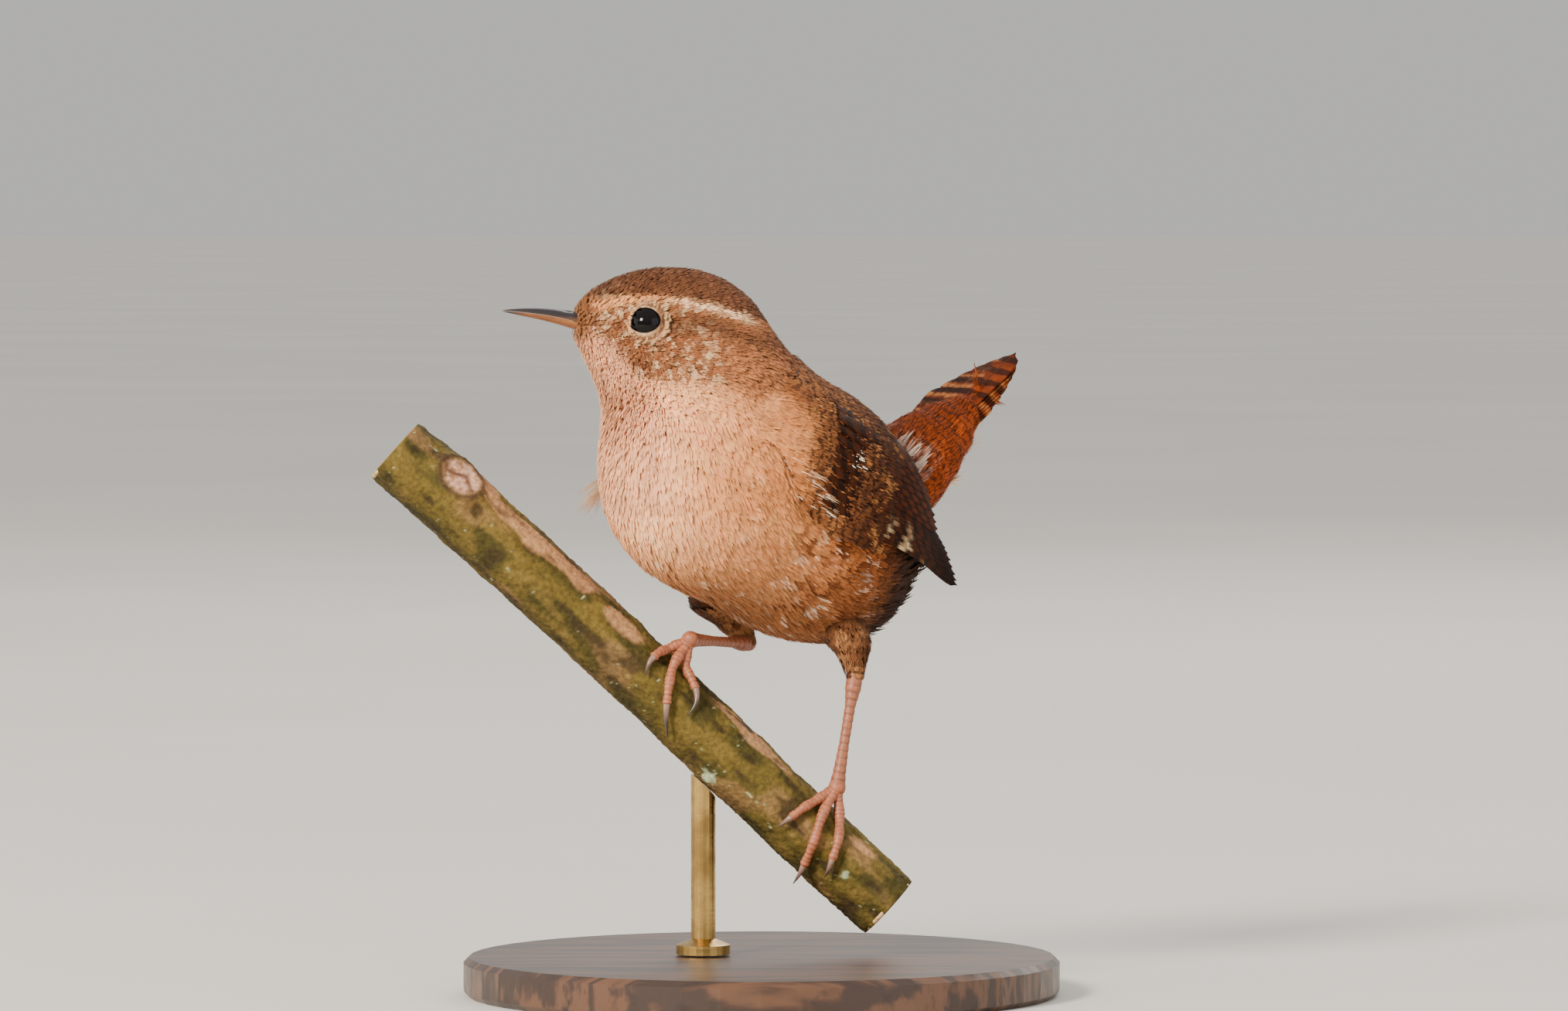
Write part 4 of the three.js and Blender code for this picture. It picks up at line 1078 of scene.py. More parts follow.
def wing_vanes():
    """Every feather of the left wing, in bird places."""
    made = []
    places = cells(sum(row[0] for row in WING_ROWS.values()))
    t = np.linspace(0, 1, WING_VANE_STATIONS)
    place = np.linspace(-1, 1, WING_VANE_COLUMNS)
    for name, (count, root, roots, tips, reach, half, lift, step, tone) in WING_ROWS.items():
        for k in range(count):
            share = k / (count - 1)
            end = lerp(reach[0], reach[1], share**1.2) + random.normal(0, 0.15)
            along = lerp(root, end, t)
            up = lerp(lerp(*roots, share), lerp(*tips, share), t) + 0.12 * np.sin(t * 3 + k)
            notch = 1 - 0.03 * random.uniform(0, 1, (WING_VANE_STATIONS, 2)) * ramp(t, 0.5, 1)[:, None]
            notch = np.where(place < 0, notch[:, :1], notch[:, 1:])
            wide = half * vane_width(t)[:, None] * notch * np.abs(place)
            lean = place * (0.12 + step * 3)
            level = WING_LIFT + 0.62 + lift + share * step * 4 - lean[None] - 0.12 * place[None] ** 2
            level = level - 1.1 * ramp(up, 15, 20)[:, None]
            shift = -0.35 * np.abs(place)[None] * (1 - 0.6 * t[:, None])
            points, outs, _ = wing_spot(along[:, None] + shift, up[:, None] + np.sign(place) * wide, level)
            grid = np.broadcast_to(tone, (*points.shape[:2], 3)) * random.uniform(0.6, 0.8)
            bars = np.full(points.shape[:2], 0.82)
            if name == "primaries":
                spots = ramp(np.sin((along[:, None] + 0.7 * k) * 2 * math.pi / 2.1), 0.5, 0.8)
                spots = ramp(-place, -0.15, 0.25)[None] * spots * ramp(-t, -0.7, -0.55)[:, None]
                pale = spots * ramp(t, 0.05, 0.15)[:, None] * max(0, 1 - 0.13 * k)
                grid = lerp(grid, WING_SPOT, np.clip(pale * 0.95, 0, 1)[..., None])
                bars = bars * (1 - 0.8 * pale)
                grid = grid * lerp(1, 0.3, ramp(t, 0.62, 0.95))[:, None, None]
            own = random.uniform(0, 1)
            made.append(vane(points, outs[:, 4], coloured(grid, bars), along, own, places[len(made)]))
    return made


def wing_bed():
    """The closed cushion of down under the wing's feathers."""
    stations, across = 40, 24
    middles = lambda count: np.sin(math.pi * (np.arange(count) + 0.5) / count)
    along = np.linspace(WING_FROM + 2.5, WING_TO - 9, stations)[:, None]
    t = (along - WING_FROM) / (WING_TO - WING_FROM)
    top = lerp(38, 72, wing_open(t)) * (1 - 0.72 * ramp(t, 0.35, 1.0))
    angle = lerp(wing_low(along) + 3, top, np.linspace(0, 1, across)[None])
    edge = middles(across) ** 0.5 * middles(stations)[:, None] ** 0.4
    outer, _, _ = wing_point(along, angle, 0.1 + 0.9 * edge)
    inner, _, _ = wing_point(along, angle, -0.6)
    return np.concatenate([outer, inner[:, ::-1]], axis=1)


def shoulder_tufts():
    """Small soft feathers over the bend of the wing, from the side of the breast up to the back."""
    first, last = WING_FROM - 4.5, 17.5
    by_row, by_column = np.linspace(0, 1, 40), np.linspace(0, 1, 30)
    along = np.linspace(first, last, 40)[:, None]
    t = np.maximum(along - WING_FROM, 0) / (WING_TO - WING_FROM)
    low, high = wing_low(np.maximum(along, WING_FROM)) - 4, lerp(48, 86, wing_open(t))
    angle = lerp(low, high, by_column[None])
    level = lerp(-0.7, 1.25, ramp(along, first, WING_FROM + 4))
    level = level + lerp(0, 0.35, ramp(along, 6, 12)) - 1.5 * ramp(by_column, 0.45, 1)[None]
    grid, _, _ = wing_point(along, angle, level)
    points, place, level = scattered(grid, WING_PLACES, pairs(by_row, by_column), level)
    points, place, level = chosen(thinned(points, 0.7), points, place, level[:, 0])
    count = len(points)
    body, _ = markings(points, np.full(count, 0.5))
    brown = lerp(SHOULDER, WING_BROWN, ramp(place[:, 0], 0.5, 1)[:, None])
    brown = lerp(brown, SHOULDER_PALE, (ramp(noise(points, 1.0, 14), 0.6, 0.75) * 0.6)[:, None])
    winged = ramp(place[:, 0] + 0.25 * (noise(points, 2.2, 15) - 0.5) + 0.25 * place[:, 1], 0.28, 0.5)
    colour = lerp(body, brown, winged[:, None]) * random.uniform(0.85, 1.15, (count, 1))
    seen = bird_world(points)
    white = np.hypot(seen[:, 0] - WHITE_SPOT[0], seen[:, 2] - WHITE_SPOT[1]) < WHITE_SPOT[2]
    colour = np.where(white[:, None], WHITE * 0.9, colour)
    tint = coloured(colour, np.where(white, 0.0, lerp(0.25, 0.95, winged)))
    way = WING_WAY + random.normal(0, 0.12, (count, 3)) + WING_OVER * -0.12
    length = random.uniform(3.0, 4.4, count)
    unwrap = place * 0.8 + 0.1
    return tufts(points, way, wing_guide, length, 0.85, 0.75, level, tint, points @ WING_WAY, unwrap)


def wisps():
    """Loose white plumes along the lower front edge of the wing."""
    count = 9
    along = random.uniform(-2.5, 2.5, count)
    low = wing_low(np.maximum(along, WING_FROM)) - random.uniform(0, 4, count)
    start, _, _ = wing_point(along, low, 0.6)
    way = WING_WAY + WING_OVER * -0.1 + random.normal(0, 0.05, (count, 3))
    tint = coloured(lerp(BUFF, WHITE, random.uniform(0.3, 1, (count, 1))), 0.0)
    length = random.uniform(6.5, 9.5, count)
    return tufts(start, way, wing_guide, length, 0.45, 1.2, 0.9, tint, along, 0.5, breadth=0.16)


def breast_plume():
    """A loose white plume that stands out past the far side of the breast."""
    count = 12
    start = bird_own(V(-12, 2, 79.2)) + random.normal(0, 0.6, (count, 3))
    ray = V(-1, 0.2, 0) @ BIRD_TURN + random.normal(0, 0.04, (count, 3))
    roots = surface(start, unit(ray), -0.4)
    way = V(-0.8, 0.3, -0.6) @ BIRD_TURN + random.normal(0, 0.2, (count, 3))
    length = random.uniform(4.0, 6.0, count)
    rise = random.uniform(3.0, 6.4, count)
    tint = plain(WHITE, roots)
    fan = tufts(roots, way, depth, length, 0.7, rise, -0.4, tint, 0, 0.6, strands=6, breadth=0.14)
    fan[0] = bird_world(fan[0])
    coat("coat_plume", [fan], "pale_plumage")

def wings():
    feathers = joined(wing_vanes())
    bed, bed_faces = closed_rows(wing_bed())
    soft = joined([shoulder_tufts(), wisps()])
    for name, side in (("left", V(1, 1, 1)), ("right", V(1, -1, 1))):
        points, faces, tints, lies, maps = feathers
        values = tints, lies, {"OFBake": maps}
        made = piece(f"wing_{name}_feathers", bird_world(points * side), faces, VANE, "wing_feather", *values)
        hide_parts(f"wing_{name}")
        # The down under the wing's feathers is painted darker than the wing: painted shade between the
        # feathers
        tone, lie = plain(WING_BROWN * 0.6, bed, 0.6), under_lie(bed @ WING_WAY, bed, 0.7, (0, 0))
        piece(f"wing_{name}_down", bird_world(bed * side), bed_faces, PLUMAGE, "wing_feather", tone, lie)
        coat(f"coat_wing_{name}", [[bird_world(soft[0] * side), *soft[1:]]], "wing_feather")


# Tail

TAIL_WAY = V(-math.cos(math.radians(TAIL_RISE)), 0, math.sin(math.radians(TAIL_RISE)))
ROLLED = math.radians(TAIL_ROLL)
TAIL_LEFT = V(0, 1, 0) * math.cos(ROLLED) + np.cross(TAIL_WAY, V(0, 1, 0)) * math.sin(ROLLED)
TAIL_OVER = np.cross(TAIL_LEFT, TAIL_WAY)
# Side, number of feathers, and the space between them at their roots and tips
TAIL_SIDES = (-1, 6, (0.8, 1.4)), (1, 5, (0.2, 0.35))


def tail_point(along, left, over):
    along, left, over = np.broadcast_arrays(along, left, over)
    return TAIL_AT + TAIL_WAY * along[..., None] + TAIL_LEFT * left[..., None] + TAIL_OVER * over[..., None]


def tail_vanes():
    made = []
    stations, columns = 34, 11
    places = cells(sum(count for _, count, _ in TAIL_SIDES))
    t = np.linspace(0, 1, stations)
    place = np.linspace(-1, 1, columns)
    for side, count, spaces in TAIL_SIDES:
        for k in range(count):
            rank = k if side < 0 else k + 1
            end = TAIL_LENGTH - TAIL_SHORTER[0] * rank - TAIL_SHORTER[1] * rank**2
            along = lerp(TAIL_ROOT, end, t)
            notch = 1 - 0.07 * random.uniform(0, 1, (stations, 1)) * ramp(t, 0.4, 1)[:, None]
            wide = TAIL_VANE_HALF * vane_width(t)[:, None] * notch * place
            left = (TAIL_MIDDLE + side * rank * lerp(*spaces, t))[:, None] + wide
            over = TAIL_RAISED - rank * TAIL_LEVEL - 0.25 * place[None] ** 2 - side * 0.1 * place[None]
            points = tail_point(along[:, None] - 0.5 * np.abs(place), left, over)
            grid = np.broadcast_to(TAIL_RED, (stations, columns, 3)) * random.uniform(0.9, 1.1)
            grid = grid * lerp(1, 0.45, ramp(t, 0.86, 1))[:, None, None]
            grid = grid * lerp(0.4, 1, ramp(left, -3.6, 0.6))[..., None]
            spots = np.sin(along[:, None] * 2 * math.pi / 2.35 + 2.2) > 0.3
            grid = lerp(grid, TAIL_SPOT, (spots * ramp(place * side, 0.35, 0.7) * 0.5)[..., None])
            normal = np.broadcast_to(TAIL_OVER, (stations, 3))
            made.append(vane(points, normal, coloured(grid, 0.85), along, 0.02 * rank, places[len(made)]))
    return made


def covert_field(points):
    path = [tail_point(along, 0, TAIL_COVERT_OVER) for along in TAIL_COVERT_AT]
    return limb_depth(points, path, TAIL_COVERT_RADII)


def covert_shape(share):
    """Distance along the tail and radius of the ground under its coverts."""
    stops = np.linspace(0, 1, len(TAIL_COVERT_AT))
    radius = np.interp(share, stops, TAIL_COVERT_RADII) - TAIL_COAT_DEPTH
    return np.interp(share, stops, TAIL_COVERT_AT), radius


def tail_coverts():
    """Soft feathers over and under the root of the tail, with pale fluff at the rump."""
    share = np.linspace(0, 1, 40)
    along, radius = covert_shape(share)
    angle = np.linspace(0, 2 * math.pi, 61)
    left, over = np.cos(angle) * radius[:, None], np.sin(angle) * radius[:, None] * 0.95 + TAIL_COVERT_OVER
    places = pairs(share, angle / 2 / math.pi)
    points, place = scattered(tail_point(along[:, None], left, over), TAIL_PLACES, places)
    points, place = chosen(depth(points) > -1.5, points, place)
    points, place = chosen(thinned(points, 0.72), points, place)
    count = len(points)
    turn = place[:, 1] * 2 * math.pi
    above = np.sin(turn)
    colour = lerp(RUMP * 0.8, RUMP, ramp(noise(points, 2.5, 3), 0.3, 0.7)[:, None])
    colour = colour * lerp(1, 0.5, ramp(above, 0.2, 0.9))[:, None]
    pale = ramp(-above, 0.72, 0.95) * (noise(points, 1.6, 9) > 0.4) * ramp(-place[:, 0], -0.7, -0.5) * 0.9
    sides = ramp(-place[:, 0], -0.17, -0.08) * ramp(np.abs(np.cos(turn)), 0.1, 0.5) * ramp(above, 0.2, 0.55)
    pale = np.maximum(pale, sides * ramp(noise(points, 0.6, 16), 0.35, 0.6) * 0.85)
    fluff = lerp(FLUFF, WHITE, random.uniform(0, 0.8, (count, 1)))
    colour = lerp(colour, fluff, pale[:, None]) * random.uniform(0.85, 1.15, (count, 1))
    length = lerp(lerp(5.2, 3.4, place[:, 0]), 5.5, pale) * random.uniform(0.85, 1.15, count)
    half, rise = lerp(0.95, 0.45, pale), lerp(0.85, 1.5, pale)
    way = TAIL_WAY + random.normal(0, 0.1, (count, 3)) * (1 + pale[:, None])
    tint, unwrap = coloured(colour, 0.8 * (1 - pale)), place * 0.8 + 0.1
    return tufts(points, way, covert_field, length, half, rise, -0.9, tint, along_of(points), unwrap)


def tail_plumes():
    """Loose pale plumes along the lower edge of the tail's root."""
    count = 40
    along = random.uniform(5, 14.5, count)
    turn = np.radians(random.normal(-68, 15, count))
    radius = np.interp(along, TAIL_COVERT_AT, TAIL_COVERT_RADII) - 1.2
    roots = tail_point(along, np.cos(turn) * radius, np.sin(turn) * radius + TAIL_COVERT_OVER)
    way = TAIL_WAY - 0.45 * TAIL_OVER + random.normal(0, 0.16, (count, 3))
    tint = coloured(lerp(BUFF, WHITE, random.uniform(0.4, 1, (count, 1))), 0.0)
    length = random.uniform(3.2, 5.0, count)
    rise = random.uniform(1.8, 3.4, count)
    return tufts(roots, way, covert_field, length, 0.6, rise, -1.2, tint, along, 0.9, strands=6, breadth=0.16)


def along_of(points):
    return (points - TAIL_AT) @ TAIL_WAY


def tail():
    points, faces, tints, lies, maps = joined(tail_vanes())
    placed = bird_world(points)
    made = piece("tail_feathers", placed, faces, VANE, "tail_feather", tints, lies, {"OFBake": maps})
    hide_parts("tail")
    along, radius = covert_shape(np.linspace(0, 1, 30))
    core, core_faces = tube(tail_point(along, 0, TAIL_COVERT_OVER), radius, 28, V(0, 1, 0))
    # The core under the tail's coverts is painted darker than the rump: painted shade between the feathers
    tone, lie = plain(RUMP * 0.6, core, 0.4), under_lie(along_of(core), core, 0.7, (0, 0))
    piece("tail_down", bird_world(core), core_faces, PLUMAGE, "tail_feather", tone, lie)
    soft = joined([tail_coverts(), tail_plumes()])
    soft[0] = bird_world(soft[0])
    coat("coat_tail", [soft], "tail_feather")


# Thighs


def thigh_coat():
    made = []
    rings, sides = 24, 40
    for path in thigh_paths():
        share = np.linspace(0, 0.97, rings)
        route, radii = thigh_route(path, share)
        rows = tube(route, radii - 0.5, sides)[0][:-2].reshape(rings, sides, 3)
        rows = np.concatenate([rows, rows[:, :1]], axis=1)
        points, place = scattered(rows, THIGH_PLACES, pairs(share, np.linspace(0, 1, sides + 1)))
        points, place = chosen(depth(bird_own(points)) > -1.2, points, place)
        points, place = chosen(thinned(points, lerp(0.75, 0.4, place[:, 0])), points, place)
        count = len(points)
        pale = ramp(noise(points, 1.6, 3), 0.35, 0.8)[:, None]
        tint = coloured(lerp(THIGH, BUFF * 0.55, pale) * random.uniform(0.8, 1.2, (count, 1)), 0.6)
        field = lambda q, path=path: limb_depth(q, path, THIGH_RADII)
        length, half = lerp(3.2, 1.2, place[:, 0]), lerp(0.8, 0.4, place[:, 0])
        way = unit(path[2] - path[0]) + random.normal(0, 0.1, (count, 3))
        unwrap = place * 0.8 + 0.1
        made.append(tufts(points, way, field, length, half, 0.45, -0.5, tint, -points[:, 2], unwrap))
    coat("coat_thighs", made, "pale_plumage")


# Eyes and lids


def ball(at, radius, sides, rings):
    turn = np.linspace(0.03, math.pi - 0.03, rings)
    angle = np.arange(sides) / sides * 2 * math.pi
    x = np.sin(turn)[:, None] * np.cos(angle)
    y = np.sin(turn)[:, None] * np.sin(angle)
    z = np.cos(turn)[:, None] + 0 * angle
    return closed_rows(at + np.stack([x, y, z], -1) * radius)


def lid_shells(middle, out, forward, upward):
    """Rings of points of both lids, from the opening outwards and back under, and their angles."""
    angle = np.arange(LID_SIDES) / LID_SIDES * 2 * math.pi
    corner = 1 + 0.06 * np.maximum(0, np.cos(angle)) ** 6 + 0.04 * np.maximum(0, -np.cos(angle)) ** 6
    edge = 1 / np.hypot(np.cos(angle) / OPENING[0], np.sin(angle) / OPENING[1]) * corner
    flat = forward * np.cos(angle)[:, None] + upward * np.sin(angle)[:, None]
    shells = []
    for share, radius in LID_SHELL:
        away = lerp(edge, LID_OUTER, share) + 0.02 * np.sin(angle * 31) * share
        height = np.sqrt(np.maximum(radius**2 - away**2, 0.01))
        shells.append(middle + flat * away[:, None] + out * height[:, None])
    return np.concatenate(shells), np.tile(angle, len(LID_SHELL))


def eyes():
    eye_look = eye_material()
    lid_look = tinted_material("lid", 0.55, 1800, 0.25, 3000, 0.00006, Specular_IOR_Level=0.4)
    faces = grid_faces(len(LID_SHELL) + 1, LID_SIDES + 1)
    ring, spot = faces // (LID_SIDES + 1) % len(LID_SHELL), faces % (LID_SIDES + 1) % LID_SIDES
    lid_faces = ring * LID_SIDES + spot
    for name, side in (("left", 1), ("right", -1)):
        at = EYE_AT * V(1, side, 1)
        points, faces = ball(at, EYE_RADIUS, 48, 28)
        tone = np.tile(EYE_BLACK, (len(points), 1))
        eye = piece(f"eyeball_{name}", bird_world(from_head(points)), faces, eye_look, "eye", tone)
        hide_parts(f"eye_{name}")
        middle = from_head(at[None])
        out = outward(middle, depth)[0]
        forward = HEAD_TURN @ V(1, 0, 0)
        forward = unit(forward - out * (out @ forward))
        points, angle = lid_shells(middle, out, forward, np.cross(out, forward) * side)
        share = np.repeat([s for s, _ in LID_SHELL], LID_SIDES)[:, None]
        tone = lerp(LID_CORNER, LID_PALE, np.abs(np.sin(angle))[:, None] ** 1.5)
        tone = lerp(LID_RIM, tone, ramp(share, 0.0, 0.14))
        tone = lerp(tone, LID_EDGE, ramp(share, 0.4, 0.8))
        tone = np.clip(tone * lerp(0.75, 1.15, noise(points, 0.5)[:, None]), 0, 1)
        piece(f"lid_{name}", bird_world(points), lid_faces, lid_look, "plumage", tone)

# Bill


def nostril(forward, up, long, high):
    """1 at the nostril, falling softly to 0 around it."""
    return np.exp(-(((forward - NOSTRIL_AT[0]) / long) ** 2) - ((up - NOSTRIL_AT[1]) / high) ** 2)


def bill_half(side):
    deep = BILL_UPPER_DEPTH if side > 0 else BILL_LOWER_DEPTH
    t = np.linspace(0.0004, 1, 60)[:, None] ** 1.4
    forward = lerp(BILL_TIP, BILL_ROOT, t)
    mouth = mouth_line(t) + side * MOUTH_GAP / 2
    wide = BILL_HALF_WIDTH * t**BILL_WIDENING
    angle = np.linspace(0, math.pi, 20)
    flat = np.linspace(-1, 1, 12)[1:-1]
    rim_up = mouth + side * np.sin(angle) ** 0.85 * (deep * t**BILL_DEEPENING)
    rim = np.stack([forward + 0 * angle, np.cos(angle) * wide, rim_up], -1)
    bottom = np.stack([forward + 0 * flat, flat * wide, mouth + 0 * flat], -1)
    rows = np.concatenate([rim, bottom], axis=1)
    if side > 0:
        rows[..., 1] -= np.sign(rows[..., 1]) * nostril(rows[..., 0], rows[..., 2], 1.3, 0.35) * 0.35
    return closed_rows(rows)


def bill():
    shine = {"Specular_IOR_Level": 0.5, "Coat_Weight": 0.25, "Coat_Roughness": 0.2}
    look = tinted_material("bill", 0.3, 900, 0.2, 1500, 0.00005, **shine)
    for name, side, slot in (("upper", 1, "bill_dark"), ("lower", -1, "bill_pale")):
        points, faces = bill_half(side)
        forward, up = points[:, 0], points[:, 2]
        t = bill_share(forward)
        mouth = mouth_line(t)
        if side > 0:
            tone = lerp(BILL_HORN * 0.4, BILL_SLATE, ramp(up - mouth, 0.0, 0.2)[:, None])
            tone = lerp(tone, NOSTRIL, nostril(forward, up, 1.1, 0.3)[:, None])
        else:
            tone = lerp(BILL_HORN, BILL_SIDE, (ramp(mouth - up, 0.5, 1.4) * ramp(-t, -0.5, 0))[:, None])
            tone = lerp(tone, BILL_END, ramp(-t, -0.3, -0.05)[:, None])
        yellow = ramp(t, 0.55, 0.85) * ramp(-np.abs(up - mouth), -0.7, -0.2) * (1 if side < 0 else 0.35)
        tone = np.clip(lerp(tone, BILL_GAPE, yellow[:, None]), 0, 1)
        made = piece(f"beak_{name}", bird_world(from_head(points)), faces, look, slot, tone)
        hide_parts(f"bill_{name}")


# Perch

perch_curve = Curve(PERCH_AXIS)


def perch_place(along, angle, radius):
    """Places by share of the perch's length, degrees from its crest towards -Y, and radius."""
    share = np.asarray(along)
    centre, way = perch_curve.at(share), perch_curve.way(share)
    crest = np.cross(V(0, -1, 0), way)
    turn = np.radians(angle)[..., None]
    radius = np.asarray(radius)[..., None]
    return centre + crest * np.cos(turn) * radius + V(0, -1, 0) * np.sin(turn) * radius


# Pale worn places on the branch: share of its length, degrees from its crest, and half sizes
PEELED = [
    (0.13, 24, 0.035, 24),
    (0.27, 34, 0.1, 20),
    (0.41, 46, 0.04, 14),
    (0.68, 24, 0.07, 17),
    (0.92, 40, 0.035, 16),
    (0.5, 250, 0.1, 30),
]
# Patches of lichen: share of the branch's length, degrees from its crest, and radius
LICHENS = (0.671, 138, 1.3), (0.917, 96, 0.5)


def cut_end(share, way):
    """A thin disc on an end of the branch, with the wood's rings."""
    centre, along = perch_curve.at(share), perch_curve.way(share) * way
    rings, sides = 22, 72
    radius = np.linspace(0, PERCH_RADIUS * 0.93, rings)[::-1]
    around = np.arange(sides) * 360 / sides
    disc = perch_place(np.full((rings, sides), share), np.ones(rings)[:, None] * around, radius[:, None])
    height = 0.02 + 0.05 * np.sin(radius * 7) + 0.1 * (1 - radius / PERCH_RADIUS)
    disc = (disc + along * height[:, None, None])[::-1]
    points, faces = closed_rows(np.concatenate([disc, disc[::-1] - along * 0.6]))
    ring = 0.5 + 0.5 * np.sin(np.linalg.norm(points - centre, axis=1) * 8)
    return [points, faces, lerp(CUT_PALE, CUT_RING, ring[:, None])]


def bark():
    rings, sides = 420, 120
    share = np.linspace(0, 1, rings)[:, None] * np.ones(sides)
    angle = np.ones(rings)[:, None] * np.arange(sides) / sides * 360
    length = share * perch_curve.length
    turn = np.radians(angle)
    rolled = np.stack([length * 0.45, np.cos(turn) * PERCH_RADIUS, np.sin(turn) * PERCH_RADIUS], -1)
    ridges = noise(rolled, 1.5, 1) - 0.5
    lumps = noise(rolled, 5.0, 2) - 0.5
    grit = noise(rolled * V(2, 1, 1), 0.45, 3) - 0.5
    scar = np.exp(-(((share - SCAR_AT) / SCAR_LENGTH) ** 2))
    scar = scar * np.maximum(0, np.cos(turn - math.radians(SCAR_ANGLE))) ** 3
    away = np.hypot((length - SCAR_AT * perch_curve.length) / 3.9, (angle - SCAR_ANGLE) / 27)
    crater = np.exp(-((away - 1) ** 2) / 0.06) * 0.55 - 0.45 * np.exp(-(away**2) / 0.4)
    radius = PERCH_RADIUS + SCAR_HEIGHT * scar + (0.45 * ridges + 0.7 * lumps + 0.28 * grit + crater) - 0.15
    radius = radius * lerp(0.965, 1, ramp(share, 0, 0.012) * ramp(-share, -1, -0.988))
    points, faces = closed_rows(perch_place(share, angle, radius))

    moss = ramp(noise(rolled, 2.2, 5), 0.3, 0.7)
    peeled = 0.3 * ramp(noise(rolled, 3.0, 6), 0.6, 0.75)
    for at, turned, half_long, half_round in PEELED:
        near = np.hypot((share - at) / half_long, (angle - turned) / half_round)
        edge = near + 1.1 * (noise(rolled, 2.4, 8) - 0.5) + 1.0 * ridges
        peeled = np.maximum(peeled, ramp(-edge, -1.15, -0.75))
    heart = ramp(-away, -0.95, -0.7)
    wood = lerp(SCAR_PALE, SCAR_BROWN, ramp(grit + 0.5, 0.3, 0.8)[..., None])
    split = bump(angle - SCAR_ANGLE + 6 * np.sin(length * 1.3), 0, 4) * heart
    lichen = ramp(noise(rolled * V(2, 1, 1), 0.55, 7), 0.9, 0.96) * 0.8
    for at, turned, half in LICHENS:
        near = np.hypot(length - at * perch_curve.length, (turn - math.radians(turned)) * PERCH_RADIUS)
        lichen = np.maximum(lichen, ramp(-near + 1.2 * grit, -half - 0.3, -half + 0.3))
    tone = lerp(BARK_GREEN, BARK_MOSS, moss[..., None])
    tone = lerp(tone, BARK_RIDGE, (ramp(ridges, 0.05, 0.3) * 0.6)[..., None])
    tone = lerp(tone, BARK_PEELED, (peeled * 0.85)[..., None])
    # The underside of the branch is painted darker: painted shade
    tone = tone * lerp(1, 0.6, bump(angle, 165, 45))[..., None]
    layers = [
        # Cracks: the bark's own darker crevices, with painted shade in them
        (BARK_CRACK_AND_SHADE, ramp(-ridges, 0.12, 0.35) * 0.8),
        (wood, heart * 0.9),
        (SCAR_SPLIT, split * 0.9),
        (SCAR_RIM, bump(away, 0.98, 0.12) * 0.85),
        (LICHEN, lichen * 0.8),
    ]
    for colour, amount in layers:
        tone = lerp(tone, colour, amount[..., None])
    tones = np.concatenate([tone.reshape(-1, 3), [CUT_WOOD, CUT_WOOD]])
    points, faces, tones = joined([[points, faces, tones], cut_end(0.0, -1), cut_end(1.0, 1)])
    look = tinted_material("bark", 0.88, 1400, 0.3, 2600, 0.00025, Specular_IOR_Level=0.25)
    made = piece("branch", points, faces, look, "bark", np.clip(tones, 0, 1))
    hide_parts("perch")


# Legs, toes and claws


def perch_spot(along, angle, height):
    """A place by millimetres along the perch from its mark, degrees from its crest, and height."""
    share = PERCH_MARK + along / perch_curve.length
    return perch_place(share, float(angle), PERCH_RADIUS + height)


def scuted(length, share, size, amount):
    """A ripple of overlapping scutes along a limb."""
    phase = share * length / size % 1
    return amount * (phase**0.6 * (1 - ramp(phase, 0.8, 1)) - 0.4)


def scaly_limb(route, radii, length, size, sides, tone, groove_shade):
    """A limb with scutes, with painted shade in the grooves between them."""
    share = np.linspace(0, 1, len(route))
    points, faces = tube(route, radii, sides)
    # Painted shade in the grooves between the scutes
    shaded_groove = ramp(-scuted(length, share, size, 1.0), 0.0, 0.35) * groove_shade
    tones = lerp(tone, SCUTE_GROOVE_SHADE, np.repeat(shaded_groove, sides)[:, None])
    return [points, faces, np.concatenate([tones, [tone, tone]])]


def claw(start, end, way, tip):
    """A curved claw from inside the toe's end to its tip."""
    bow = end + way * np.linalg.norm(tip - end) * 0.5
    t = np.linspace(0, 1, 26)[:, None]
    path = start * (1 - t) ** 2 + bow * 2 * t * (1 - t) + tip * t * t
    points, faces = tube(path, CLAW_RADIUS * 1.05 * (1 - 0.88 * t[:, 0] ** 1.1), 18)
    out = ramp(np.linalg.norm(points - start, axis=1), 0.3, 3.2)
    return points, faces, lerp(CLAW_ROOT, CLAW_TIP, out[:, None])


